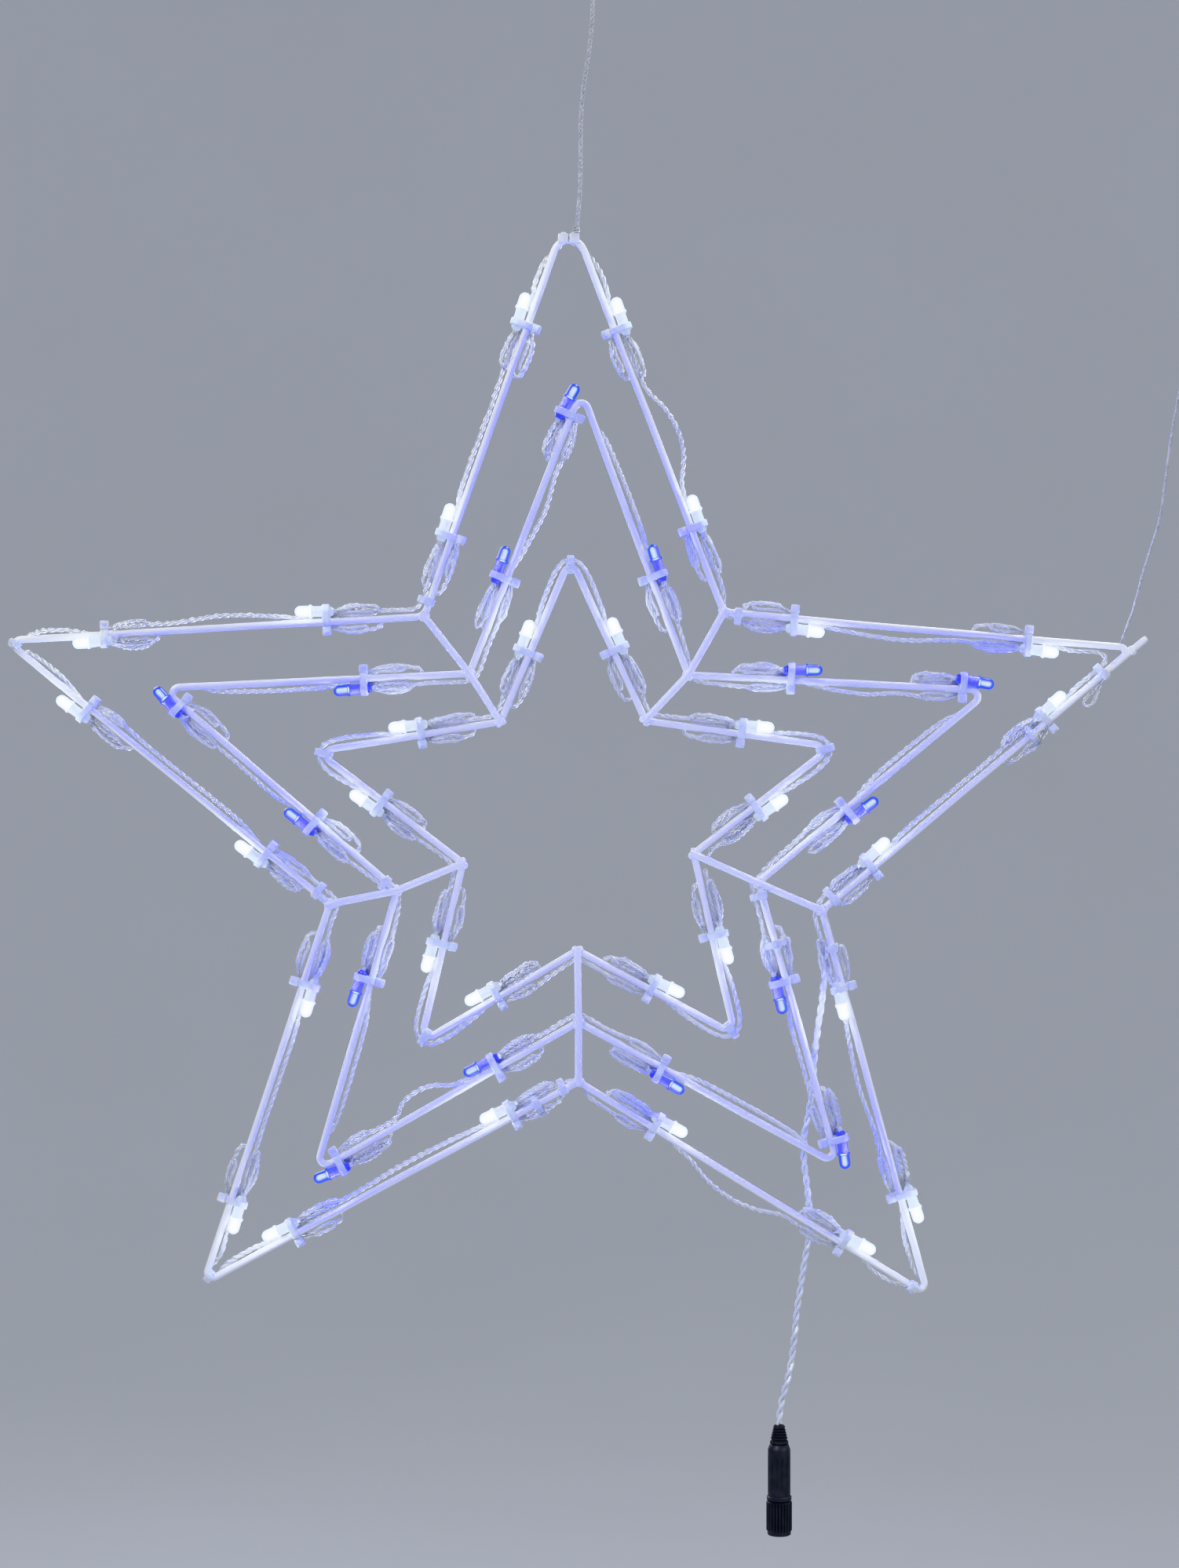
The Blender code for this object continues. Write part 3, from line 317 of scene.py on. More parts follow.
# A tie's head, cut tail and pawl: half width, from and to as they lie outwards, front, back, rounded edge
TIE_HEAD = [(0.5 * TIE_WIDTH + 0.3 * MM, 0, HEAD_LENGTH + 0.3 * MM, -HEAD_HALF, HEAD_HALF, 0.45 * MM),
            (0.34 * TIE_WIDTH, 0.8 * MM, 0.8 * MM + TIE_THICK, -HEAD_HALF - 0.75 * MM, HEAD_HALF + 0.35 * MM,
             0.2 * MM),
            (0.24 * TIE_WIDTH, -0.12 * MM, 0.5 * MM, -0.7 * MM, 0.7 * MM, 0.1 * MM)]
# The clips on the top tip, in front and on top: from and to across, outwards and back, rounded edge
CLIPS = [((0.2 * MM, -STRAP_WIDTH / 2, -TIP_STRAP_FRONT),
          (TIP_STRAP_HALF, ROD_RADIUS + STRAP_THICK, TIP_STRAP_BACK), 0.7 * MM),
         ((0.5 * TIP_STRAP_HALF - 1.1 * MM, ROD_RADIUS + 0.4 * MM, -1.2 * MM),
          (0.5 * TIP_STRAP_HALF + 1.1 * MM, ROD_RADIUS + STRAP_THICK + 0.7 * MM, 0.2 * MM), 0.3 * MM)]
# Ties that hold no lamp: star (0 outer, 1 middle, 2 inner), side and share of it from the tip, or the tip
SIDE_TIES = [(0, 0, 0.965), (0, 8, 0.965), (0, 2, 0.96), (1, 2, 0.955), (0, 7, 0.10), (0, 7, 0.33),
             (0, 7, 0.96), (0, 6, 0.902), (0, 4, 0.96), (0, 4, 0.889), (1, 6, 0.782), (1, 6, 0.955),
             (0, 5, 0.045)]
TIP_TIES = [(2, 0), (2, 2), (2, 4), (2, 6), (2, 8), (0, 2), (0, 4)]

# Cords: three strands each, and the knots' wound turns
LAID_STEP = 0.8 * MM
LAID_SIDES = 8
LOOP_COUNT = 96
WIND_COUNT = 16
HANG_PITCH = 7 * MM
HANG_LOOP_TWISTS = 9
HANG_KNOT = (3.2 * MM, 1.15 * CORD_RADIUS, 0.55 * MM, 3.4)
FOOT_KNOT = (0.2 * MM, 1.1 * CORD_RADIUS, 0.55 * MM, 2.6)
SIDE_PITCH = 5 * MM
SIDE_LOOP_TWISTS = 10
SIDE_KNOT = (2.4 * MM, 1.2 * SIDE_CORD_RADIUS, 0.42 * MM, 3.2)
LEAD_PITCH = 11 * MM

# Connector: edges, the boot's ribs, the grips' flutes and the thread
EDGE = 0.3 * MM
FINE_EDGE = 0.2 * MM
AXIS_RADIUS = 0.2 * MM
TURNED_SIDES = 32
BOOT_RIBS = 5
RIBS_START_SHARE = 0.08
RIBS_SHARE = 0.74
# Each rib: share of its run, and how far off the boot's slope
BOOT_RIB = [(0, 0), (0.45, 0.12 * MM), (0.5, -0.45 * MM), (0.92, -0.4 * MM)]
COLLAR_SHARE = 0.86
COLLAR_SINK = 0.35 * MM
COLLAR_EDGE = 0.25 * MM
GRIP_START = 4.5 * MM
GRIP_END = 1.5 * MM
GRIP_STEPS = 14
FLUTE_MARGIN = 0.1 * MM
SHELL_SIDES = 72
SHELL_FLUTES = (12, 0.55 * MM)
NUT_SIDES = 96
NUT_FLUTES = (24, 0.7 * MM)
NUT_EDGE = 0.4 * MM
NUT_STEPS = 10
NUT_GRIP_END = 2.2 * MM
NUT_BEVEL_END = 1.6 * MM
THREAD_TURNS = 7
THREAD_SHARES = (0.06, 0.8)
PIN_SIDES = 16

# The studio: a floor and wall in one bowl, how much light it gives off itself, the lamps and the world
BOWL_FLAT = 2.2
BOWL_SWEEP = 2.0
BOWL_HEIGHT = 9.0
BOWL_STEPS = 16
BOWL_SIDES = 96
FLOOR_DROP = 0.45
PAPER = (0.27, 0.285, 0.315)
PAPER_GLOW = (0.225, 0.236, 0.262)
# Each soft light: name, place, size, power and colour
SOFT_LIGHTS = [("key", (-1.1, -1.5, 0.9), 0.8, 25.0, (1.0, 0.98, 0.96)),
               ("fill", (1.6, -1.3, 0.1), 1.4, 9.0, (0.90, 0.94, 1.0)),
               ("rim", (0.5, 0.35, 0.8), 0.5, 14.0, (1.0, 1.0, 1.0)),
               ("back", (-0.9, 1.5, 0.5), 1.0, 14.0, (1.0, 1.0, 1.0))]
WORLD_COLOUR = (0.80, 0.84, 0.92)
WORLD_STRENGTH = 0.20


def fillet(before, here, after, radius, steps):
    """Points round a corner, from where its arc leaves the first line to where it meets the second."""
    into, away = (before - here).normalized(), (after - here).normalized()
    half = into.angle(away) / 2
    axis = into.cross(away).normalized()
    middle = here + (into + away).normalized() * (radius / math.sin(half))
    start = here + into * (radius / math.tan(half)) - middle
    turn = 2 * half - math.pi
    return [middle + Matrix.Rotation(turn * k / steps, 3, axis) @ start for k in range(steps + 1)]


class Star:
    """One wire star: its corners in turn from the top tip anticlockwise, tips even and hollows odd."""

    def __init__(self, reach, hollow, tip_shares, hollow_shares, tip_bends, depth):
        self.bends = []
        self.corners = []
        for arm in range(ARMS):
            for part, (share, off) in enumerate((tip_shares[arm], hollow_shares[arm])):
                size = (reach, hollow)[part] * share
                angle = math.pi / 2 + (2 * arm + part) * math.pi / ARMS + math.radians(off)
                self.corners.append(Vector((size * math.cos(angle), depth, size * math.sin(angle))))
                self.bends.append((tip_bends[arm], HOLLOW_BEND)[part])
        self.count = len(self.corners)

    def side(self, i):
        """The tip that side i runs to, its length, its direction to the tip and its outward normal."""
        first, second = self.corners[i], self.corners[(i + 1) % self.count]
        tip, hollow = (first, second) if i % 2 == 0 else (second, first)
        ahead = (tip - hollow).normalized()
        out = Vector((ahead.z, 0, -ahead.x))
        if out.dot(tip + hollow) < 0:
            out = -out
        return tip, (tip - hollow).length, ahead, out

    def place(self, i, from_tip, out, back):
        """A point beside side i: how far from its tip, out from the rod and back from the star's plane."""
        tip, _, ahead, normal = self.side(i)
        return tip - ahead * from_tip + normal * out + Vector((0, back, 0))

    def around(self, corner):
        """The corner before this one, this one and the one after."""
        return self.corners[corner - 1], self.corners[corner], self.corners[(corner + 1) % self.count]

    def bisector(self, corner):
        """The outward direction at a corner, and the half angle between it and each side."""
        before, here, after = self.around(corner)
        into, away = (before - here).normalized(), (after - here).normalized()
        middle = (into + away).normalized()
        return (-middle if corner % 2 == 0 else middle), into.angle(away) / 2

    def tangent(self, corner):
        """How far from the corner its bend starts."""
        return self.bends[corner] / math.tan(self.bisector(corner)[1])


def tip_top(star, corner):
    """The outermost point of the rod's centre line at a tip, and the outward direction there."""
    outward, half = star.bisector(corner)
    return star.corners[corner] - outward * (star.bends[corner] * (1 / math.sin(half) - 1)), outward


def cable_off():
    """How far the cable's centre line keeps from the rod's."""
    return ROD_RADIUS + GAP + CABLE_RADIUS + CABLE_SPARE


def lamp_places(star, lamps):
    """Each side's lamps from its hollow on: tie's way from the tip, side of the rod, turn to the front."""
    middle_of_lens = FLANGE_END + LENS_LENGTH / 2
    head = ROD_RADIUS + GAP + STRAP_THICK + HEAD_LENGTH
    places = []
    for i, side_lamps in enumerate(lamps):
        length = star.side(i)[1]
        tip = i if i % 2 == 0 else (i + 1) % star.count
        spread = 2 * star.bisector(tip)[1]
        clear_of_bend = star.tangent(tip) + CABLE_RADIUS
        clear_of_limb = (ROD_RADIUS + 2 * GAP + head * math.cos(spread)) / math.sin(spread)
        least = STRAP_WIDTH / 2 + max(clear_of_bend, clear_of_limb)
        side = [(max(share * length + middle_of_lens, least), flag, lift) for share, flag, lift in side_lamps]
        places.append(sorted(side, reverse=True))
    return places


def beside(star, i, from_tip, flag, turn):
    """A point of the cable on its way round side i's rod: turn 0 is beside it, 90 is straight behind it."""
    off, angle = cable_off(), math.radians(turn)
    return star.place(i, from_tip, flag * off * math.cos(angle), off * math.sin(angle))


def tie_run(star, i, from_tip):
    """The cable straight through a lamp's tie, behind the rod."""
    reach = (STRAP_WIDTH + CABLE_RADIUS) / 2
    return [beside(star, i, from_tip + way * reach, 1, 90) for way in (1, -1)]


def hank_route(star, i, from_tip, run, number):
    """The slack behind one lamp: forward beside the rod, back behind it, and forward on its other side."""
    front = from_tip + HANK_START
    room = star.side(i)[1] - HANK_CLEAR
    rear = min(front + HANK_LENGTH * HANK_SHARES[number % len(HANK_SHARES)], room)
    out = HANK_OUT * HANK_WIDTHS[number % len(HANK_WIDTHS)]
    behind = cable_off() + CABLE_SPARE
    turn = math.hypot(out, behind - HANK_BACK) / 2

    def half_turn(distance, first, last, way):
        """A turn from one run's place to another's: way 1 at the end near the lamp, -1 at the far end."""
        points = []
        for k in range(TURN_STEPS + 1):
            angle = math.pi * k / TURN_STEPS
            part = (1 - math.cos(angle)) / 2
            at = [p + (q - p) * part for p, q in zip(first, last)]
            points.append(star.place(i, distance - way * turn * math.sin(angle), run * at[0], at[1]))
        return points

    points = []
    if rear + HANK_LEAD_IN < room:
        points.append(beside(star, i, rear + HANK_LEAD_IN, run, 0))
    points += half_turn(front + turn, (out, HANK_BACK), (0, behind), 1)
    points += half_turn(rear - turn, (0, behind), (-out, HANK_BACK), -1)
    points.append(star.place(i, front, -run * out, HANK_BACK))
    return points


def leave_tie(star, i, from_tip, run):
    """The cable from behind the rod out to its side again, past the lens."""
    past = from_tip - LENS_END
    return [beside(star, i, past, run, 45), beside(star, i, past - LEAVE_RUN, run, 0)]


def between(star, i, start, end, run, bow):
    """The cable's free stretch from one distance to another, bowed off the rod."""
    def off(part, swell):
        return star.place(i, start + (end - start) * part, run * (cable_off() + swell * bow * BOW_REACH), 0)

    if bow > BOWED:
        return [off(0.25, 0.75), off(0.5, 1), off(0.75, 0.75)]
    return [off(0.5, 1)] if bow > STRAIGHT else []


def offset_corner(star, corner, flag, back):
    """Where the lines beside a corner's two sides cross: on the outside for flag 1, on the inside for -1."""
    outward, half = star.bisector(corner)
    return star.corners[corner] + outward * (flag * cable_off() / math.sin(half)) + Vector((0, back, 0))


def corner_route(star, corner, before, after, style):
    """The cable round a corner, from the side of the rod that it comes on to the side that it leaves on."""
    outward, half = star.bisector(corner)
    previous, here, following = star.around(corner)
    side_in = (corner - 1) % star.count
    lift = Vector((0, cable_off(), 0))

    def step(i, distance, run, turn):
        from_tip = distance if corner % 2 == 0 else star.side(i)[1] - distance
        return beside(star, i, from_tip, run, turn)

    if corner % 2 == 1:
        if before != after:
            return [step(side_in, PASS_RUN, before, 45), here + lift, step(corner, PASS_RUN, after, 45)]
        apex = offset_corner(star, corner, before, HOLLOW_BACK - here.y)
        return fillet(apex + previous - here, apex, apex + following - here, HOLLOW_TURN, 1)
    if style == "inside":
        apex = offset_corner(star, corner, -1, 0)
        return fillet(apex + previous - here, apex, apex + following - here, INSIDE_TURN, BEND_STEPS)
    if style == "outside":
        spread = star.bends[corner] + cable_off() / math.cos((math.pi / 2 - half) / BEND_STEPS)
        apex = here - outward * (star.bends[corner] - spread) / math.sin(half)
        return fillet(apex + previous - here, apex, apex + following - here, spread, BEND_STEPS)
    arc = fillet(previous + lift, here + lift, following + lift, star.bends[corner], TIP_STEPS)
    tangent = star.tangent(corner)
    if style == "lamp":
        nearer = step(side_in, tangent + TIP_RUN, before, 90)
        return [step(side_in, tangent + 2 * TIP_RUN, before, 45), nearer] + arc[:-1]
    way_in = [step(side_in, tangent + 2 * PASS_RUN, before, 0), step(side_in, tangent + PASS_RUN, before, 45)]
    return way_in + arc + [step(corner, tangent + PASS_RUN, after, 45)]


def string_route(star, places, runs, bows, styles, bare=()):
    """The cable of one star, from side 7 round to side 6. Lamps named in bare have no slack behind them."""
    route, number = [], 0
    for n in range(star.count):
        i = (START_CORNER + n) % star.count
        stretch, run = [], runs[i]
        for k, (from_tip, _, _) in enumerate(places[i]):
            number += 1
            if k > 0:
                last = places[i][k - 1][0]
                start = last - LENS_END - LEAVE_RUN
                end = from_tip + HANK_START + HANK_LENGTH + HANK_LEAD_IN
                stretch += leave_tie(star, i, last, run) + between(star, i, start, end, run, bows[i])
            if (i, k) not in bare:
                stretch += hank_route(star, i, from_tip, run, number)
            stretch += tie_run(star, i, from_tip)
        tip = i if i % 2 == 0 else (i + 1) % star.count
        from_tip = places[i][-1][0]
        past = from_tip - LENS_END
        corner_room = star.tangent(tip) + 2 * TIP_RUN
        if past > star.tangent(tip):
            side_again = past - LEAVE_RUN > corner_room
            stretch += leave_tie(star, i, from_tip, run)[:1 + side_again]
        if past - 2 * LEAVE_RUN > corner_room:
            stretch += between(star, i, past - LEAVE_RUN, corner_room, run, bows[i] - BOWED)
        route += stretch[::-1] if i % 2 == 0 else stretch
        if n < star.count - 1:
            after = (i + 1) % star.count
            route += corner_route(star, after, run, runs[after], styles[after % len(styles)])
    return route


def join_line(outer, inner):
    """Where the cable goes in from one star's hollow to the next one's behind the spoke, and its way."""
    start, end = outer.corners[START_CORNER].copy(), inner.corners[START_CORNER].copy()
    start.y = end.y = HOLLOW_BACK
    return start, (end - start).normalized()


def join_end(outer, inner):
    """The last points of one star's cable, straight up to the cut."""
    start, ahead = join_line(outer, inner)
    return [start + ahead * (JOIN_RUN - JOIN_STRAIGHT), start + ahead * JOIN_RUN]


def join_start(outer, inner, run):
    """The first points of the next star's cable, face to face with the cut and round on to side 7."""
    start, ahead = join_line(outer, inner)
    _, here, following = inner.around(START_CORNER)
    cut = start + ahead * (JOIN_RUN + GAP)
    if run < 0:
        over = here + Vector((0, cable_off() + CROSS_BACK, 0))
        out_again = beside(inner, START_CORNER, inner.side(START_CORNER)[1] - PASS_RUN, run, 45)
        return [cut, cut + ahead * JOIN_STRAIGHT, over - ahead * (2 * JOIN_STRAIGHT), over, out_again]
    apex = offset_corner(inner, START_CORNER, 1, HOLLOW_BACK - here.y)
    return [cut] + fillet(cut, apex, apex + following - here, JOIN_TURN, BEND_STEPS)


def outer_string(outer, middle, places, runs, bows):
    """The outer cable, from its joint with the lead on side 6 round to where it goes in along the spoke."""
    last_side = START_CORNER - 1
    off = lead_off()
    start = outer.side(last_side)[1] - START_RUN
    first = [outer.place(last_side, start + run, -off, 0) for run in (0, JOIN_STRAIGHT)]
    first += corner_route(outer, START_CORNER, -1, -1, "")
    styles = ["behind"] * outer.count
    styles[START_CORNER + 1] = "inside"
    route = string_route(outer, places, runs, bows, styles, {(last_side, 0)})
    over = outer.corners[START_CORNER] + Vector((0, cable_off() + CROSS_BACK, 0))
    _, ahead = join_line(outer, middle)
    clear = over + ahead * HANK_CLEAR - Vector((0, CROSS_BACK, 0))
    return first + route + [over, clear] + join_end(outer, middle)


def middle_string(outer, middle, inner, places, runs, bows):
    """The middle cable, from its joint on the spoke round to where it goes further in."""
    route = string_route(middle, places, runs, bows, ["lamp"])
    before, here, _ = middle.around(START_CORNER)
    _, ahead = join_line(middle, inner)
    apex = offset_corner(middle, START_CORNER, -1, HOLLOW_BACK)
    turn = fillet(apex + before - here, apex, apex + ahead * JOIN_RUN, HOLLOW_TURN, 1)
    return join_start(outer, middle, runs[START_CORNER]) + route + turn + join_end(middle, inner)


def lead_off():
    """How far the power lead's centre line keeps from the rod's where it starts."""
    return ROD_RADIUS + GAP + LEAD_RADIUS + CABLE_SPARE


def smooth_points(route, step):
    """Evenly spaced points on the smooth curve through a route, its first and last stretches straight."""
    fine, inner = [], route[1:-1]
    padded = [route[0], *inner, route[-1]]
    for a, b, c, d in zip(padded, padded[1:], padded[2:], padded[3:]):
        for k in range(10):
            t = k / 10
            fine.append(0.5 * (2 * b + (c - a) * t + (2 * a - 5 * b + 4 * c - d) * t**2
                               + (3 * b - a - 3 * c + d) * t**3))
    fine.append(inner[-1])
    length = sum((q - p).length for p, q in zip(fine, fine[1:]))
    count = round(length / step)
    points, run, target = [fine[0]], 0.0, length / count
    for p, q in zip(fine, fine[1:]):
        piece = (q - p).length
        while run + piece >= target and len(points) < count:
            points.append(p.lerp(q, (target - run) / piece))
            target += length / count
        run += piece
    points = [route[0], *points, fine[-1], route[-1]]
    return points, sum((q - p).length for p, q in zip(points, points[1:]))


def from_start(start, first, numbers):
    """A cord's route from where it starts: a straight first step, then the listed points."""
    return [start, start + first] + [start + Vector(point) * MM for point in numbers]


# Materials

def set_inputs(node, values):
    """A node's inputs by name, where _ stands for a space."""
    for name, value in values.items():
        node.inputs[name.replace("_", " ")].default_value = value


def add_node(tree, kind, **values):
    made = tree.nodes.new("ShaderNode" + kind)
    set_inputs(made, values)
    return made


def noise_of(tree, scale, detail=3.0, roughness=0.5):
    """A noise pattern that stays at its place on the object."""
    place = add_node(tree, "TexCoord")
    made = add_node(tree, "TexNoise", Scale=scale, Detail=detail, Roughness=roughness)
    tree.links.new(place.outputs["Object"], made.inputs["Vector"])
    return made.outputs["Fac"]


def ramp_of(tree, value, first, last, *others):
    """The colours that a value stands for, from (position, colour) stops."""
    made = add_node(tree, "ValToRGB")
    elements = made.color_ramp.elements
    elements[0].position, elements[1].position = first[0], last[0]
    elements[0].color, elements[1].color = (*first[1], 1), (*last[1], 1)
    for position, colour in others:
        elements.new(position).color = (*colour, 1)
    tree.links.new(value, made.inputs["Fac"])
    return made.outputs["Color"]


def feed(tree, output, name):
    tree.links.new(output, tree.nodes["Principled BSDF"].inputs[name])


def material(name, colour, roughness, colours=None, shades=None, grain=None, **inputs):
    """A Principled material.

    Colours are two colours, the scale of their pattern and where it turns. Shades are the least and most
    roughness and their scale. A grain is a bump's scale, strength, depth and detail.
    """
    made = bpy.data.materials.new(name)
    made.use_nodes = True
    tree = made.node_tree
    set_inputs(tree.nodes["Principled BSDF"], {"Base Color": (*colour, 1), "Roughness": roughness, **inputs})
    if colours:
        first, second, scale, low, high = (*colours, 0.35, 0.65)[:5]
        feed(tree, ramp_of(tree, noise_of(tree, scale), (low, first), (high, second)), "Base Color")
    if shades:
        least, most, scale = shades
        spread = add_node(tree, "MapRange", To_Min=least, To_Max=most)
        tree.links.new(noise_of(tree, scale), spread.inputs["Value"])
        feed(tree, spread.outputs["Result"], "Roughness")
    if grain:
        scale, strength, depth, detail = (*grain, 4.0)[:4]
        bumps = add_node(tree, "Bump", Strength=strength, Distance=depth)
        tree.links.new(noise_of(tree, scale, detail, 0.6), bumps.inputs["Height"])
        feed(tree, bumps.outputs["Normal"], "Normal")
    return made


def glowing(name, core, body, rim, strength, core_edge):
    """A lit lens: brightest where it faces the eye, deeper in colour round its edge."""
    made = material(name, tuple(0.01 * c for c in body), 0.12, Emission_Strength=strength, Coat_Weight=0.3,
                    Coat_Roughness=0.05)
    tree = made.node_tree
    facing = add_node(tree, "LayerWeight", Blend=0.35)
    colour = ramp_of(tree, facing.outputs["Facing"], (0.02, core), (0.70, rim), (core_edge, body))
    feed(tree, colour, "Emission Color")
    return made


def glow_painted_sleeve(name, colour, strength):
    """The clear sleeve behind a lens, with painted glow in it standing in for the lamp's light."""
    return material(name, tuple(0.06 + 0.5 * c for c in colour), 0.12, shades=(0.06, 0.24, 700.0),
                    Transmission_Weight=0.6, IOR=1.45, Coat_Weight=0.3, Emission_Strength=strength,
                    Emission_Color=(*colour, 1))


white_paint = material("white_gloss_paint", (0.90, 0.91, 0.93), 0.24,
                       colours=((0.86, 0.87, 0.90), (0.93, 0.94, 0.95), 55.0), shades=(0.16, 0.34, 140.0),
                       grain=(900.0, 0.15, 0.2 * MM), Coat_Weight=0.6, Coat_Roughness=0.08)
clear_wire = material("clear_wire", (0.97, 0.98, 1.0), 0.05,
                      colours=((0.88, 0.92, 1.0), (0.98, 0.99, 1.0), 420.0, 0.3, 0.6),
                      grain=(1500.0, 0.12, 0.1 * MM), Transmission_Weight=0.70, IOR=1.47, Coat_Weight=0.5,
                      Coat_Roughness=0.03)
lead_wire = material("lead_wire", (0.86, 0.90, 0.96), 0.16,
                     colours=((0.78, 0.83, 0.92), (0.94, 0.96, 0.99), 300.0), grain=(1200.0, 0.15, 0.1 * MM),
                     Transmission_Weight=0.35, IOR=1.47, Coat_Weight=0.4)
nylon = material("milky_nylon", (0.88, 0.91, 0.96), 0.34,
                 colours=((0.82, 0.86, 0.94), (0.94, 0.96, 0.99), 260.0), grain=(2400.0, 0.2, 0.1 * MM),
                 Transmission_Weight=0.3, IOR=1.50, Subsurface_Weight=0.1)
WHITE_LIGHT, BLUE_LIGHT = (0.80, 0.90, 1.0), (0.01, 0.05, 1.0)
# The sleeves' emission is painted glow for the lamp's light in the holder: brighter at the front than at the
# rear.
white_finish = (glowing("lit_white_lens", (1.0, 1.0, 1.0), (0.92, 0.96, 1.0), (0.62, 0.78, 1.0), 6.0, 0.20),
                glow_painted_sleeve("white_sleeve_front_painted_glow", WHITE_LIGHT, 0.9),
                glow_painted_sleeve("white_sleeve_rear_painted_glow", WHITE_LIGHT, 0.25))
blue_finish = (glowing("lit_blue_lens", (0.72, 0.88, 1.0), (0.01, 0.10, 0.92), (0.0, 0.01, 0.60), 1.25, 0.15),
               glow_painted_sleeve("blue_sleeve_front_painted_glow", BLUE_LIGHT, 0.60),
               glow_painted_sleeve("blue_sleeve_rear_painted_glow", BLUE_LIGHT, 0.30))
cord_fibre = material("grey_cord_fibre", (0.46, 0.47, 0.50), 0.85,
                      colours=((0.36, 0.37, 0.40), (0.58, 0.59, 0.62), 900.0),
                      grain=(3500.0, 0.6, 0.2 * MM, 6.0), Sheen_Weight=0.3)
dark_plastic = material("dark_moulded_plastic", (0.028, 0.029, 0.032), 0.42,
                        colours=((0.020, 0.021, 0.024), (0.038, 0.039, 0.042), 240.0),
                        shades=(0.34, 0.52, 300.0), grain=(2600.0, 0.35, 0.2 * MM))
black_rubber = material("black_rubber", (0.018, 0.018, 0.019), 0.68,
                        colours=((0.012, 0.012, 0.013), (0.028, 0.028, 0.030), 400.0),
                        grain=(1800.0, 0.4, 0.2 * MM))
contact_metal = material("contact_metal", (0.80, 0.65, 0.36), 0.28, shades=(0.2, 0.4, 1200.0), Metallic=1.0)


# Meshes

def placed(name, data, place=(0, 0, 0)):
    """A new object in the scene."""
    made = bpy.data.objects.new(name, data)
    made.location = place
    bpy.context.scene.collection.objects.link(made)
    return made


class Shape:
    """Points and faces gathered for one piece, with a material for each face."""

    def __init__(self):
        self.points, self.faces, self.finishes = [], [], []

    def add(self, points, faces, finish):
        start = len(self.points)
        self.points += [tuple(p) for p in points]
        self.faces += [tuple(start + k for k in face) for face in faces]
        self.finishes += [finish] * len(faces)

    def join(self, other, matrix=Matrix()):
        """Add another shape, moved by a matrix. Where that mirrors it, its faces are turned round."""
        start = len(self.points)
        self.points += [tuple(matrix @ Vector(p)) for p in other.points]
        way = -1 if matrix.determinant() < 0 else 1
        self.faces += [tuple(start + k for k in face[::way]) for face in other.faces]
        self.finishes += other.finishes

    def piece(self, name, slot, node=None, body="star", sharp=40, matrix=Matrix()):
        """An object of this shape on a body, and in place of a node where one is named. Its slot is not used.
        """
        moved = Shape()
        moved.join(self, matrix)
        data = bpy.data.meshes.new(name)
        data.from_pydata(moved.points, [], moved.faces)
        finishes = list(dict.fromkeys(self.finishes))
        for finish in finishes:
            data.materials.append(finish)
        data.polygons.foreach_set("material_index", [finishes.index(f) for f in self.finishes])
        data.shade_smooth()
        data.set_sharp_from_angle(angle=math.radians(sharp))
        made = placed(name, data)
        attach(made, body)
        if node:
            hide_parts(node)
        return made


def ring_faces(rings, sides, closed=False):
    """Quads from each ring of points to the next, and from the last to the first if closed."""
    faces = []
    for k in range(rings if closed else rings - 1):
        a, b = k * sides, ((k + 1) % rings) * sides
        faces += [(a + n, a + (n + 1) % sides, b + (n + 1) % sides, b + n) for n in range(sides)]
    return faces


def end_faces(rings, sides):
    return [tuple(range(sides))[::-1], tuple((rings - 1) * sides + n for n in range(sides))]


def frames_along(line, closed=False):
    """Two cross directions at each point of a line, which turn no more than the line does."""
    if closed:
        ahead = np.roll(line, -1, 0) - np.roll(line, 1, 0)
    else:
        ahead = np.gradient(line, axis=0)
    ahead /= np.linalg.norm(ahead, axis=1)[:, None]
    first = np.cross(ahead[0], (0, 1, 0) if abs(ahead[0][1]) < 0.9 else (1, 0, 0))
    across = [first / np.linalg.norm(first)]
    for tangent in ahead[1:]:
        kept = across[-1] - tangent * across[-1].dot(tangent)
        across.append(kept / np.linalg.norm(kept))
    across = np.array(across)
    return across, np.cross(ahead, across)


def swept(line, radius, sides, closed=False):
    """Points and faces of a round tube along a line. The radius is a number, or one for each point."""
    line = np.array([tuple(p) for p in line], float)
    across, up = frames_along(line, closed)
    radius = np.broadcast_to(np.asarray(radius, float), (len(line),))
    turn = (2 * np.pi * np.arange(sides) / sides)[None, :, None]
    ring = np.cos(turn) * across[:, None, :] + np.sin(turn) * up[:, None, :]
    points = line[:, None, :] + radius[:, None, None] * ring
    faces = ring_faces(len(line), sides, closed)
    return points.reshape(-1, 3), faces if closed else faces + end_faces(len(line), sides)


def revolved(profile, sides):
    """Points and faces of a form turned round the X axis, from (along, radius) pairs, its ends closed."""
    turns = [2 * math.pi * n / sides for n in range(sides)]
    points = [(along, radius * math.cos(turn), radius * math.sin(turn))
              for along, radius in profile for turn in turns]
    return points, ring_faces(len(profile), sides) + end_faces(len(profile), sides)


def run_lengths(line):
    """How far along a line each of its points is."""
    return np.concatenate([[0], np.cumsum(np.linalg.norm(np.diff(line, axis=0), axis=1))])


def spaced(line, step):
    """Evenly spaced points on a line of points."""
    line = np.array([tuple(p) for p in line], float)
    runs = run_lengths(line)
    marks = np.linspace(0, runs[-1], max(2, round(runs[-1] / step) + 1))
    return np.stack([np.interp(marks, runs, line[:, k]) for k in range(3)], 1)


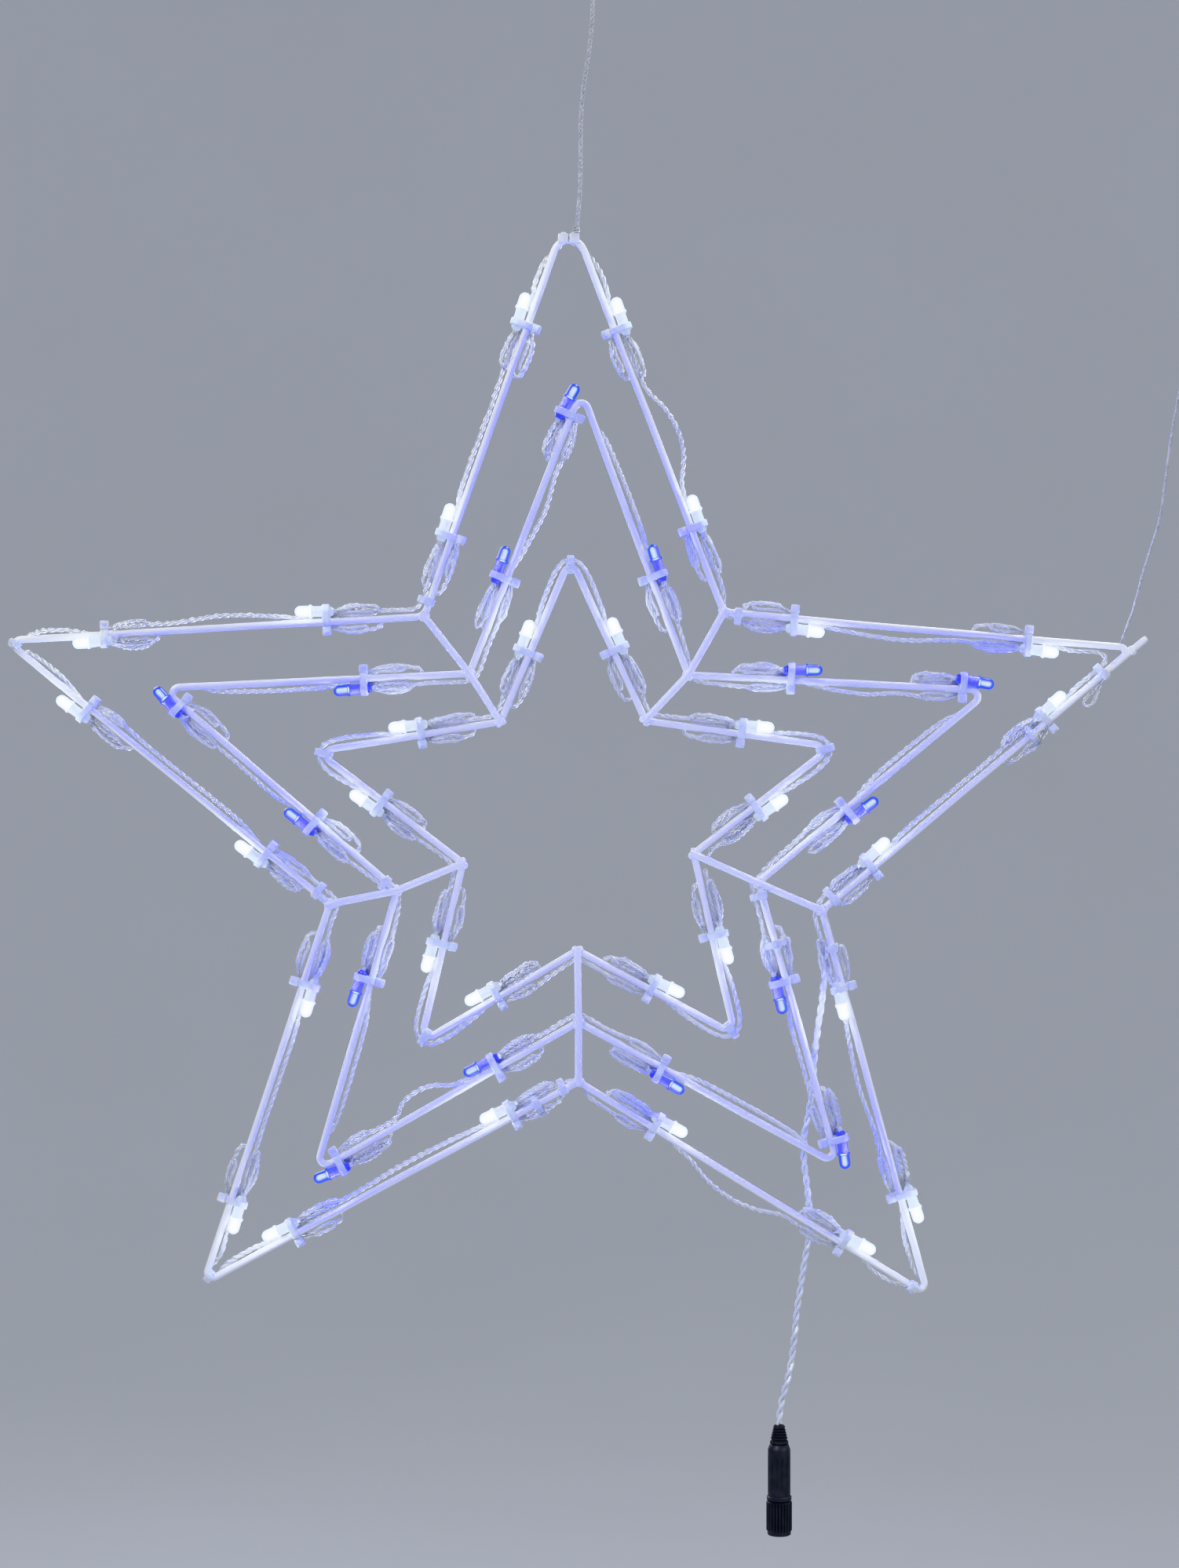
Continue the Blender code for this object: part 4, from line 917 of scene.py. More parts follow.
def flowing(route, step):
    """Evenly spaced points on the smooth curve through a route's points, which may be unevenly spaced."""
    points = [np.array(tuple(p), float) for p in route]
    kept = points[:1]
    for point in points[1:]:
        if np.linalg.norm(point - kept[-1]) > LEAST_STEP:
            kept.append(point)
    padded = [2 * kept[0] - kept[1], *kept, 2 * kept[-1] - kept[-2]]

    def mix(a, b, t, start, end):
        return (end - t) / (end - start) * a + (t - start) / (end - start) * b

    fine = []
    for four in zip(padded, padded[1:], padded[2:], padded[3:]):
        gaps = [np.linalg.norm(b - a) for a, b in zip(four, four[1:])]
        marks = np.cumsum([0.0] + [gap ** 0.5 for gap in gaps])
        count = max(2, int(gaps[1] / CURVE_STEP))
        for t in marks[1] + (marks[2] - marks[1]) * np.arange(count) / count:
            a = [mix(four[k], four[k + 1], t, marks[k], marks[k + 1]) for k in range(3)]
            b = [mix(a[k], a[k + 1], t, marks[k], marks[k + 2]) for k in range(2)]
            fine.append(mix(b[0], b[1], t, marks[1], marks[2]))
    return spaced(fine + kept[-1:], step)


def twisted(shape, line, strands, offset, radius, pitch, sides, finish, phase=0.0):
    """Strands laid round a line, each one unbroken tube."""
    across, up = frames_along(line)
    for k in range(strands):
        turn = phase + 2 * np.pi * (run_lengths(line) / pitch + k / strands)
        strand = line + offset * (np.cos(turn)[:, None] * across + np.sin(turn)[:, None] * up)
        shape.add(*swept(strand, radius, sides), finish)


def frame_of(ahead, side, back, origin):
    """The matrix of a frame from its three axes and its origin."""
    return Matrix.Translation(origin) @ Matrix((ahead, side, back)).transposed().to_4x4()


# The three wire stars, and where the star stands below the top of its hanging loop

def wire_star(steps, *shares_bends_depth):
    return Star(INNER_REACH + steps * REACH_STEP, INNER_HOLLOW + steps * HOLLOW_STEP, *shares_bends_depth)


spoke_front = -(2 * ROD_RADIUS + GAP)
inner_depth = spoke_front + 2 * ROD_RADIUS - WELD_SINK
outer = wire_star(2, OUTER_TIP_SHARES, OUTER_HOLLOW_SHARES, [BLUNT_BEND] + [OUTER_BEND] * (ARMS - 1), 0)
middle = wire_star(1, MIDDLE_TIP_SHARES, MIDDLE_HOLLOW_SHARES, [MIDDLE_BEND] * ARMS, 0)
inner = wire_star(0, INNER_TIP_SHARES, INNER_HOLLOW_SHARES, [INNER_BEND] * ARMS, inner_depth)
stars = (outer, middle, inner)
star_names = ("outer", "middle", "inner")

BACK = Vector((0, 1, 0))
UP = Vector((0, 0, 1))
top, outward_top = tip_top(outer, 0)
across_top = Vector((outward_top.z, 0, -outward_top.x))
hang_start = top + outward_top * (ROD_RADIUS + STRAP_THICK + GAP) + across_top * HANG_CORD_SIDE
hang_route = from_start(hang_start, outward_top * CORD_RADIUS, HANG_ROUTE)
centre = -(hang_route[-1] + UP * (GAP + CORD_RADIUS + LOOP_RADIUS) + UP * (LOOP_RADIUS - CORD_RADIUS))
at_star = Matrix.Translation(centre)


# Camera

aim = centre + Vector(((IMAGE_SIZE[0] / 2 - STAR_PIXEL[0]) / PIXELS_PER_M, 0,
                       (STAR_PIXEL[1] - IMAGE_SIZE[1] / 2) / PIXELS_PER_M))
distance = IMAGE_SIZE[1] / PIXELS_PER_M * LENS_MM / SENSOR_MM
camera_data = bpy.data.cameras.new("photo_camera")
camera_data.lens, camera_data.sensor_width, camera_data.sensor_fit = LENS_MM, SENSOR_MM, "AUTO"
camera_data.clip_start, camera_data.clip_end = CLIP_NEAR, CLIP_FAR
camera = placed("photo_camera", camera_data, aim - BACK * distance)
camera.rotation_euler = (math.pi / 2, 0, 0)
bpy.context.scene.camera = camera


# Cords

def laid_cord(name, route, strands, cord_radius, strand_radius, pitch, finish, node, slot, **facts):
    """A laid cord along its route, in place of its node."""
    points, length = smooth_points(route, CORD_STEP)
    line = spaced([p + centre for p in points], LAID_STEP)
    shape = Shape()
    twisted(shape, line, strands, 0.5 * cord_radius, strand_radius, pitch, LAID_SIDES, finish)
    shape.piece(name, slot, node)


def cord_loop(prefix, middle_point, radius, cord_radius, twists):
    """A closed loop of laid cord, upright and seen from in front."""
    shape = Shape()
    angle = 2 * np.pi * np.arange(LOOP_COUNT) / LOOP_COUNT
    offset = 0.5 * cord_radius
    for k in range(3):
        lay = angle * twists + 2 * np.pi * k / 3
        reach = radius + offset * np.cos(lay)
        line = np.stack([reach * np.sin(angle), offset * np.sin(lay), -reach * np.cos(angle)], 1)
        shape.add(*swept(line + np.array(middle_point), offset, LAID_SIDES, closed=True), cord_fibre)
    return shape.piece(prefix + "_loop_cord", "grey_cord", prefix + "_loop")


def whipping(name, place, along, knot):
    """A knot's turns wound close round a cord. It starts a little before its place."""
    before, core, wire, turns = knot
    side = along.orthogonal().normalized()
    other = along.cross(side)
    count = int(turns * WIND_COUNT)
    line = []
    for k in range(count + 1):
        angle = 2 * math.pi * turns * k / count
        lift = 2 * wire * turns * k / count - before
        line.append(place + along * lift + (side * math.cos(angle) + other * math.sin(angle)) * core)
    shape = Shape()
    shape.add(*swept(line, wire, LAID_SIDES), cord_fibre)
    return shape.piece(name, "grey_cord")


def looped_cord(prefix, route, cord_radius, loop_radius, pitch, twists, knot, foot=()):
    """A grey cord that ends in a knotted loop. Its foot is the place, direction and sizes of a first knot."""
    end = route[-1] + centre
    loop_middle = end + UP * (GAP + cord_radius + loop_radius)
    pieces = [cord_loop(prefix, loop_middle, loop_radius, cord_radius, twists),
              whipping(prefix + "_knot", end, UP, knot)]
    if foot:
        pieces.append(whipping(prefix + "_foot_knot", *foot))
    laid_cord(prefix + "_cord_laid", route, 3, cord_radius, 0.5 * cord_radius, pitch, cord_fibre,
              prefix + "_cord", "grey_cord", far_end="knot", stiffness="limp", lay="taut",
              with_pieces=pieces)


looped_cord("hanging", hang_route, CORD_RADIUS, LOOP_RADIUS, HANG_PITCH, HANG_LOOP_TWISTS, HANG_KNOT,
            (hang_start + centre, outward_top, FOOT_KNOT))
side_start = outer.place(SIDE_CORD_SIDE, SIDE_CORD_RUN, ROD_RADIUS + GAP, 0)
side_route = from_start(side_start, outer.side(SIDE_CORD_SIDE)[3] * SIDE_CORD_RADIUS, SIDE_ROUTE)
looped_cord("side", side_route, SIDE_CORD_RADIUS, SIDE_LOOP_RADIUS, SIDE_PITCH, SIDE_LOOP_TWISTS, SIDE_KNOT)


# Connector: profiles are (distance below the lead's end, radius) pairs

last_side = START_CORNER - 1
lead_start = outer.place(last_side, outer.side(last_side)[1] - START_RUN - GAP, -lead_off(), 0)
lead_route = from_start(lead_start, outer.side(last_side)[2] * (2 * LEAD_RADIUS), LEAD_ROUTE)
connector_top = Matrix.Translation(centre + lead_route[-1] - UP * GAP) @ Matrix.Rotation(math.pi / 2, 4, "Y")
body_top = BOOT_LENGTH + GAP
body_end = body_top + BODY_LENGTH
nose_end = body_end + NOSE_LENGTH
socket_end = nose_end - SOCKET_DEPTH
ring_top = body_end + GAP
ring_end = ring_top + RING_LENGTH


def divided(pairs, at, count):
    """A profile with its stretch after one of its points divided into steps."""
    (a, ra), (b, rb) = pairs[at:at + 2]
    steps = [(a + (b - a) * k / count, ra + (rb - ra) * k / count) for k in range(count)]
    return pairs[:at] + steps + pairs[at + 1:]


def turned_piece(name, profile, sides, finish, node, slot, flutes=(), span=(0, 0), body="star"):
    """A turned piece of the connector. Flutes are a number and a depth, in a span of its outside."""
    points, faces = revolved(profile, sides)
    for k, (along, y, z) in enumerate(points):
        radius = math.hypot(y, z)
        if flutes and span[0] <= along <= span[1] and radius > NECK_RADIUS:
            cut = flutes[1] * (0.5 - 0.5 * math.cos(flutes[0] * math.atan2(z, y))) ** 2
            points[k] = (along, y * (1 - cut / radius), z * (1 - cut / radius))
    shape = Shape()
    shape.add(points, faces, finish)
    return shape.piece(name, slot, node, body, 30, connector_top)


def boot_profile():
    """The strain relief: ribs down a cone, and a collar."""
    inside = 0.9 * LEAD_RADIUS
    profile = [(0.0, inside), (0.0, BOOT_TOP_RADIUS - FINE_EDGE), (EDGE, BOOT_TOP_RADIUS)]
    run = BOOT_LENGTH * RIBS_SHARE / BOOT_RIBS
    for rib in range(BOOT_RIBS):
        at = BOOT_LENGTH * RIBS_START_SHARE + run * rib
        radius = BOOT_TOP_RADIUS + (BOOT_RADIUS - BOOT_TOP_RADIUS) * at / BOOT_LENGTH
        profile += [(at + share * run, radius + rise) for share, rise in BOOT_RIB]
    return profile + [(COLLAR_SHARE * BOOT_LENGTH, BOOT_RADIUS - COLLAR_SINK),
                      (BOOT_LENGTH - COLLAR_EDGE, BOOT_RADIUS), (BOOT_LENGTH, BOOT_RADIUS - FINE_EDGE),
                      (BOOT_LENGTH, inside)]


def shell_profile(grip_top, grip_end):
    """The body from the boot over its grip and shoulder to the nose, and into its socket."""
    shoulder = body_end - SHOULDER_LENGTH
    neck_end = body_end + NECK_LENGTH
    grip_shoulder = body_top + SHOULDER_LENGTH
    profile = [(body_top, 0.3 * BOOT_RADIUS), (body_top, BOOT_RADIUS - EDGE), (body_top + EDGE, BOOT_RADIUS),
               (grip_shoulder, BODY_RADIUS - 0.5 * EDGE), (grip_shoulder + 2 * EDGE, BODY_RADIUS),
               (grip_top, BODY_RADIUS), (grip_end, BODY_RADIUS), (shoulder, BODY_RADIUS),
               (shoulder, SHOULDER_RADIUS - EDGE), (shoulder + EDGE, SHOULDER_RADIUS),
               (body_end - EDGE, SHOULDER_RADIUS), (body_end, SHOULDER_RADIUS - EDGE),
               (body_end, NECK_RADIUS), (neck_end, NECK_RADIUS), (neck_end, NOSE_RADIUS),
               (nose_end - EDGE, NOSE_RADIUS), (nose_end, NOSE_RADIUS - EDGE), (nose_end, SOCKET_RADIUS),
               (socket_end, SOCKET_RADIUS), (socket_end, AXIS_RADIUS)]
    return divided(profile, 5, GRIP_STEPS)


def nut_profile(grip_top, grip_end):
    """The coupling ring: its grip, its open end, its thread and the lip that holds it behind the nose."""
    lip = ring_top + NECK_LENGTH - 2 * GAP
    profile = [(ring_top, NECK_RADIUS + GAP), (ring_top, RING_RADIUS - FINE_EDGE),
               (grip_top, RING_RADIUS + RING_RIB), (grip_end, RING_RADIUS + RING_RIB),
               (ring_end - NUT_BEVEL_END, RING_RADIUS), (ring_end - EDGE, RING_RADIUS),
               (ring_end, RING_RADIUS - EDGE), (ring_end, NOSE_RADIUS + 2 * GAP)]
    first, run = THREAD_SHARES
    for k in range(2 * THREAD_TURNS + 1):
        at = ring_end + (lip - ring_end) * (first + run * k / (2 * THREAD_TURNS))
        profile.append((at, NOSE_RADIUS + (GAP if k % 2 == 0 else 2 * GAP)))
    return divided(profile, 2, NUT_STEPS) + [(lip, NOSE_RADIUS + GAP), (lip, NECK_RADIUS + GAP)]


def contact_piece():
    """The insert in the socket and its two pins, one before the other."""
    insert_top = socket_end + GAP
    insert_end = insert_top + INSERT_LENGTH
    radius = SOCKET_RADIUS - GAP
    shape = Shape()
    insert = [(insert_top, AXIS_RADIUS), (insert_top, radius), (insert_end - FINE_EDGE, radius),
              (insert_end, radius - FINE_EDGE), (insert_end, AXIS_RADIUS)]
    shape.add(*revolved(insert, TURNED_SIDES), dark_plastic)
    pin_end = insert_end + PIN_LENGTH
    pin = [(insert_end - FINE_EDGE, PIN_RADIUS), (pin_end - EDGE, PIN_RADIUS), (pin_end, 0.5 * PIN_RADIUS)]
    points, faces = revolved(pin, PIN_SIDES)
    for way in (-1, 1):
        shape.add([(x, y + way * PIN_SPREAD, z) for x, y, z in points], faces, contact_metal)
    across = connector_top @ Matrix.Rotation(math.pi / 2, 4, "X")
    return shape.piece("connector_pins", "contact_metal", "connector_contacts", sharp=30, matrix=across)


def connector():
    """The pieces on the lead's end."""
    shell_grip = (body_top + GRIP_START, body_end - SHOULDER_LENGTH - GRIP_END)
    nut_grip = (ring_top + NUT_EDGE, ring_end - NUT_GRIP_END)
    shell_span = (shell_grip[0] + FLUTE_MARGIN, shell_grip[1] - FLUTE_MARGIN)
    nut_span = (nut_grip[0] - FLUTE_MARGIN, nut_grip[1] + FLUTE_MARGIN)
    return [
        turned_piece("lead_boot", boot_profile(), TURNED_SIDES, black_rubber, "connector_boot",
                     "black_rubber"),
        turned_piece("connector_shell", shell_profile(*shell_grip), SHELL_SIDES, dark_plastic,
                     "connector_body", "dark_plastic", SHELL_FLUTES, shell_span),
        contact_piece(),
        turned_piece("coupling_nut", nut_profile(*nut_grip), NUT_SIDES, dark_plastic, "coupling_ring",
                     "dark_plastic", NUT_FLUTES, nut_span, "ring")]


laid_cord("power_lead_pair", lead_route, 2, LEAD_RADIUS, 0.52 * LEAD_RADIUS, LEAD_PITCH, lead_wire,
          "power_lead", "clear_cable", far_end="connector", stiffness="medium", lay="hanging",
          with_pieces=connector())


# Rods

def rod_line(star, seed):
    """The rod's centre line with round bends. A hand-bent rod is never quite straight."""
    def straight(start, end):
        return [start.lerp(end, k / STRAIGHT_FINE) for k in range(1, STRAIGHT_FINE)]

    def wave(p, *shift):
        return noise.noise(p * WAVE_SCALE + Vector(shift))

    line = []
    for i in range(star.count):
        arc = fillet(*star.around(i), star.bends[i], BEND_FINE if i % 2 == 0 else HOLLOW_FINE)
        if line:
            line += straight(line[-1], arc[0])
        line += arc
    line += straight(line[-1], line[0])
    return [p + Vector((wave(p, seed, 0, 0), 0, wave(p, 0, seed, 0))) * WAVE_REACH for p in line]


def weld(shape, place, size, seed):
    """A weld bead: a lump, uneven all over."""
    bead = bmesh.new()
    bmesh.ops.create_icosphere(bead, subdivisions=3, radius=1.0)
    points = []
    for v in bead.verts:
        wobble = 1 + LUMP_SHARE * noise.noise(v.co * LUMP_SCALE + Vector((seed, 0, 0)))
        points.append(v.co * Vector(size) * wobble + place)
    shape.add(points, [[v.index for v in f.verts] for f in bead.faces], white_paint)
    bead.free()


def add_end(shape):
    """The outer rod's cut end, which runs on past the right tip where it is welded."""
    tip, _, ahead, _ = outer.side(ROD_END_SIDE)
    stub = [tip + ahead * (ROD_END_OVERRUN * k / STUB_STEPS) for k in range(-2 * STUB_STEPS, STUB_STEPS + 1)]
    radii = [ROD_RADIUS] * (len(stub) - 1) + [STUB_CUT_SHARE * ROD_RADIUS]
    shape.add(*swept(stub, radii, ROD_RING), white_paint)
    weld(shape, tip - ahead * END_WELD_BACK, END_WELD, END_WELD_SEED)


def add_spoke(shape, arm):
    """A spoke across the three stars' hollows in front of them, with a bead on each side at each star."""
    points = [Vector((p.x, spoke_front, p.z)) for p in (star.corners[2 * arm + 1] for star in stars[::-1])]
    first, last = (points[0] - points[1]).normalized(), (points[2] - points[1]).normalized()
    path = [points[0] + first * SPOKE_OVERRUN, points[1], points[2] + last * SPOKE_OVERRUN]
    line = spaced(path, SPOKE_STEP)
    radii = np.full(len(line), ROD_RADIUS)
    radii[0] = radii[-1] = SPOKE_CUT_SHARE * ROD_RADIUS
    shape.add(*swept(line, radii, ROD_RING), white_paint)
    aside = Vector((first.z, 0, -first.x))
    for n, point in enumerate(points):
        point.y = (spoke_front + (inner_depth if n == 0 else 0)) / 2
        for way in (-1, 1):
            spot = point + aside * (way * SPOKE_WELD_SIDE) + first * SPOKE_WELD_BACK
            weld(shape, spot, SPOKE_WELD, arm * 3 + n + way * SPOKE_WELD_SEED)


for star, name in zip(stars, star_names):
    shape = Shape()
    shape.add(*swept(rod_line(star, len(name)), ROD_RADIUS, ROD_RING, closed=True), white_paint)
    if star is outer:
        add_end(shape)
    if star is inner:
        for arm in range(ARMS):
            add_spoke(shape, arm)
    shape.piece(name + "_wire_star", "white_powder_coat", name + "_star", matrix=at_star)


# Ties and lamps, in their own frame: X ahead to the tip, Y out to the lamp, Z back

def hull_line(circles, grow):
    """The taut line round some circles made larger, as (out, back) pairs."""
    cloud = set()
    for out, back, radius in circles:
        for k in range(CIRCLE_STEPS):
            angle = 2 * math.pi * k / CIRCLE_STEPS
            cloud.add((out + (radius + grow) * math.cos(angle), back + (radius + grow) * math.sin(angle)))
    cloud = sorted(cloud)

    def half(points):
        made = []
        for p in points:
            while len(made) > 1 and ((made[-1][0] - made[-2][0]) * (p[1] - made[-2][1])
                                     - (made[-1][1] - made[-2][1]) * (p[0] - made[-2][0])) <= 0:
                made.pop()
            made.append(p)
        return made[:-1]

    line = half(cloud) + half(cloud[::-1])
    closed = [(0, *p) for p in line + line[:1]]
    length = sum(math.dist(a, b) for a, b in zip(closed, closed[1:]))
    return [tuple(p[1:]) for p in spaced(closed, length / TIE_STEPS)][:-1]


def band(shape, circles):
    """A tie's strap drawn round some circles."""
    inside, near, outside = (hull_line(circles, TIE_CLEARANCE + grow)
                             for grow in (0, TIE_THICK - TIE_EDGE, TIE_THICK))
    half = TIE_WIDTH / 2
    section = [(inside, -half), (near, -half), (outside, -half + TIE_EDGE), (outside, half - TIE_EDGE),
               (near, half), (inside, half)]
    points = [(ahead, *p) for ring, ahead in section for p in ring]
    shape.add(points, ring_faces(len(section), TIE_STEPS, closed=True), nylon)


def rounded_box(shape, low, high, edge):
    box = bmesh.new()
    bmesh.ops.create_cube(box, size=1.0)
    for v in box.verts:
        v.co = Vector([a + (b - a) * (c + 0.5) for a, b, c in zip(low, high, v.co)])
    bmesh.ops.bevel(box, geom=list(box.edges), offset=edge, segments=2, affect="EDGES", profile=0.6)
    box.verts.index_update()
    shape.add([v.co for v in box.verts], [[v.index for v in f.verts] for f in box.faces], nylon)
    box.free()


def tie_head(shape, near):
    """The tie's head, beyond the rod from the lamp, with the cut tail out of it."""
    far = near - HEAD_LENGTH
    for half, start, end, front, back, edge in TIE_HEAD:
        rounded_box(shape, (-half, far + start, front), (half, far + end, back), edge)


def lens_profile():
    """From inside the holder over the flange and along the barrel to the end of the dome."""
    profile = [(HOLDER_FRONT - LIP, 0.8 * LENS_RADIUS), (HOLDER_FRONT, FLANGE_RADIUS - 0.5 * LIP),
               (HOLDER_FRONT + 0.75 * LIP, FLANGE_RADIUS), (FLANGE_END - LIP, FLANGE_RADIUS),
               (FLANGE_END, LENS_RADIUS + 0.4 * LIP), (FLANGE_END + 1.5 * LIP, LENS_RADIUS),
               (LENS_END - LENS_RADIUS - 3 * LIP, DOME_RADIUS)]
    for k in range(DOME_POINTS):
        angle = math.pi / 2 * k / DOME_STEPS
        profile.append((LENS_END - DOME_RADIUS * (1 - math.sin(angle)), DOME_RADIUS * math.cos(angle)))
    return profile


def sleeve_profiles():
    """The holder's rear, with faint painted glow, and its front, with brighter painted glow, a step and a
    bead.
    """
    rear = [(-SLEEVE_END, 0.5 * HOLDER_RADIUS), (-SLEEVE_END, 0.72 * HOLDER_RADIUS),
            (-1.5 * SLEEVE_SEAM, 0.95 * HOLDER_RADIUS), (-SLEEVE_SEAM, HOLDER_RADIUS),
            (SLEEVE_SEAM, HOLDER_RADIUS)]
    end = HOLDER_FRONT - 0.25 * LIP
    front = [(SLEEVE_SEAM, HOLDER_RADIUS), (SLEEVE_SEAM + 3 * LIP, 1.04 * HOLDER_RADIUS),
             (HOLDER_FRONT - 4.5 * LIP, 1.04 * HOLDER_RADIUS),
             (HOLDER_FRONT - 2.5 * LIP, 1.13 * HOLDER_RADIUS), (end, 1.13 * HOLDER_RADIUS),
             (end, 0.6 * HOLDER_RADIUS)]
    return rear, front


def lamp_shape(lift, slope, finishes):
    """A lamp in its holder, the tie that straps it to the rod, and its two legs to the cable."""
    # The holder's front and rear carry bright and faint painted glow.
    lens_finish, front_glow_finish, rear_glow_finish = finishes
    way = Vector((0, math.cos(math.radians(lift)), -math.sin(math.radians(lift))))
    out = way * (ROD_RADIUS + GAP + STRAP_WEB + HOLDER_RADIUS)
    shape = Shape()
    band(shape, ((0, 0, ROD_RADIUS + GAP / 2), (out.y, out.z, HOLDER_RADIUS), (0, cable_off(), CABLE_RADIUS)))
    tie_head(shape, -(ROD_RADIUS + GAP / 2) - TIE_THICK)
    forward = Vector((1, 0, 0))
    lean = Matrix.Translation(out) @ forward.rotation_difference(forward + way * slope).to_matrix().to_4x4()
    lamp = Shape()
    for profile, finish in zip((lens_profile(), *sleeve_profiles()), (lens_finish, rear_glow_finish, front_glow_finish)):
        lamp.add(*revolved(profile, LAMP_RING), finish)
    shape.join(lamp, lean)
    for side in (-1, 1):
        start = lean @ Vector((-LEG_START, side * LEG_RADIUS, 0))
        end = Vector((-LEG_END, 0.6 * side * LEG_RADIUS, cable_off()))
        leg = [start, start - forward * LEG_RUNS[0], start.lerp(end, 0.55), end + forward * LEG_RUNS[1], end]
        shape.add(*swept(flowing(leg, LEG_STEP), LEG_RADIUS, STRAND_SIDES), clear_wire)
    return shape


def glow_light(name, place, colour, power):
    """What a lamp sheds on the rods, ties and cable round it."""
    data = bpy.data.lights.new(name, "POINT")
    data.energy, data.color, data.shadow_soft_size = power, colour, SPILL_SIZE
    made = placed(name, data, place)
    made.visible_camera = made.visible_glossy = False


def lamp_lights(node, held, blue):
    """A lamp's light beside it, and for a blue one, which is fainter, also before and behind it."""
    beside_it = held @ Vector((FLANGE_END - FLANGE_LENGTH + 0.5 * LENS_LENGTH, SPILL_OUT, -SPILL_FRONT))
    if not blue:
        glow_light(node + "_spill", beside_it, WHITE_LIGHT, SPILL_POWER)
        return
    away = BACK * CAST_AWAY
    glow_light(node + "_spill", beside_it, BLUE_LIGHT, BLUE_SPILL_SHARE * SPILL_POWER)
    glow_light(node + "_cast", held.translation - away, BLUE_LIGHT, CAST_POWER)
    glow_light(node + "_back_cast", held.translation + away, BLUE_LIGHT, BACK_CAST_SHARE * CAST_POWER)


def add_pair(shape, line, phase=0.0):
    """A thin twisted pair along a line."""
    twisted(shape, line, 2, 0.8 * SLACK_STRAND, SLACK_STRAND, SLACK_PITCH, STRAND_SIDES, clear_wire, phase)


def slack(number):
    """Slack cable folded up behind a lamp: long loops of the thin pair, drawn together in the lamp's tie."""
    shape = Shape()
    for k, (way, out, half, depth, share) in enumerate(SLACK_LOOPS):
        reach = -(HANK_START + HANK_LENGTH * share * HANK_SHARES[(number + k) % len(HANK_SHARES)])
        sway = SLACK_SWAY * math.sin(SWAY_TURN * number + k)
        (held, held_back), (held_again, back_again) = SLACK_HELD
        (leave, leave_back), (come, come_back) = SLACK_FREE
        near, far = out - half, out + half
        spots = [(held, 0.45 * out, held_back), (leave, near, depth + leave_back),
                 (0.55 * reach, near + sway, depth), (reach + 1.5 * half, near, depth), (reach, out, depth),
                 (reach + 1.5 * half, far, depth), (0.55 * reach, far + sway, depth),
                 (come, out + 0.6 * half, depth + come_back), (held_again, 0.75 * out, back_again)]
        add_pair(shape, flowing([(x, way * y, z) for x, y, z in spots], STRAND_STEP), number + k)
    return shape


def star_lamps(star, name, places, finishes, slot, all_slack):
    """The lamps of one star in turn, each in place of its node, with its lights and its slack."""
    number = 0
    for i, side_places in enumerate(places):
        _, _, ahead, normal = star.side(i)
        for from_tip, flag, lift in reversed(side_places):
            number += 1
            slope = math.tan(TIP_SPLAY if from_tip < LENS_END else LAMP_SPLAY)
            node = f"{name}_lamp_{number:02d}"
            held = frame_of(ahead, normal * flag, BACK, star.place(i, from_tip, 0, 0) + centre)
            lamp_shape(lift, slope, finishes).piece(node + "_lit", slot, node, sharp=35, matrix=held)
            all_slack.join(slack(number), held)
            lamp_lights(node, held, slot == "lamp_blue")


folded = Shape()
all_lamps = (OUTER_LAMPS, MIDDLE_LAMPS, INNER_LAMPS)
all_places = [lamp_places(star, lamps) for star, lamps in zip(stars, all_lamps)]
for star, name, places, finishes, slot in zip(stars, star_names, all_places,
                                              (white_finish, blue_finish, white_finish),
                                              ("lamp_white", "lamp_blue", "lamp_white")):
    star_lamps(star, name, places, finishes, slot, folded)
folded.piece("folded_slack", "clear_cable", sharp=80)


# Light cable: a clear twisted pair

routes = (
    outer_string(outer, middle, all_places[0], OUTER_RUNS, OUTER_BOW_SHARES),
    middle_string(outer, middle, inner, all_places[1], MIDDLE_RUNS, MIDDLE_BOW_SHARES),
    join_start(middle, inner, 1)
    + string_route(inner, all_places[2], INNER_RUNS, INNER_BOW_SHARES, ["outside"]),
)
cable_lines = [flowing(route, STRAND_STEP) + np.array(centre) for route in routes]
for name, line in zip(star_names, cable_lines):
    shape = Shape()
    twisted(shape, line, 2, STRAND_RADIUS, STRAND_RADIUS, STRAND_PITCH, STRAND_SIDES, clear_wire)
    shape.piece(name + "_twisted_pair", "clear_cable", name + "_light_cable", sharp=80)


# Ties that hold no lamp

def passing(held):
    """The cables that pass through a tie's plane near its rod, as (out, back, radius) in the tie's frame."""
    found = []
    for line in cable_lines:
        local = (line - np.array(held.translation)) @ np.array(held.to_3x3())
        for k in np.nonzero(local[:-1, 0] * local[1:, 0] <= 0)[0]:
            share = local[k, 0] / (local[k, 0] - local[k + 1, 0])
            _, out, back = local[k] + (local[k + 1] - local[k]) * share
            if math.hypot(out, back) < TIE_GRASP:
                found.append((float(out), float(back), CABLE_RADIUS))
    return found


def plain_tie(shape, point, ahead):
    """A tie round the rod and the cables beside it, its head in front."""
    held = frame_of(ahead, BACK, ahead.cross(BACK), point + centre)
    circles = [(0, 0, ROD_RADIUS)] + passing(held)
    strap, head = Shape(), Shape()
    band(strap, circles)
    out, back, radius = min(circles, key=lambda c: c[0] - c[2])
    tie_head(head, out - radius - TIE_THICK)
    strap.join(head, Matrix.Translation((0, 0, back)))
    shape.join(strap, held)


def clips():
    """The two clips at the top tip, one on each side of the middle."""
    shape = Shape()
    for way in (-1, 1):
        for low, high, edge in CLIPS:
            start, end = sorted((way * low[0], way * high[0]))
            rounded_box(shape, (start, *low[1:]), (end, *high[1:]), edge)
    return shape


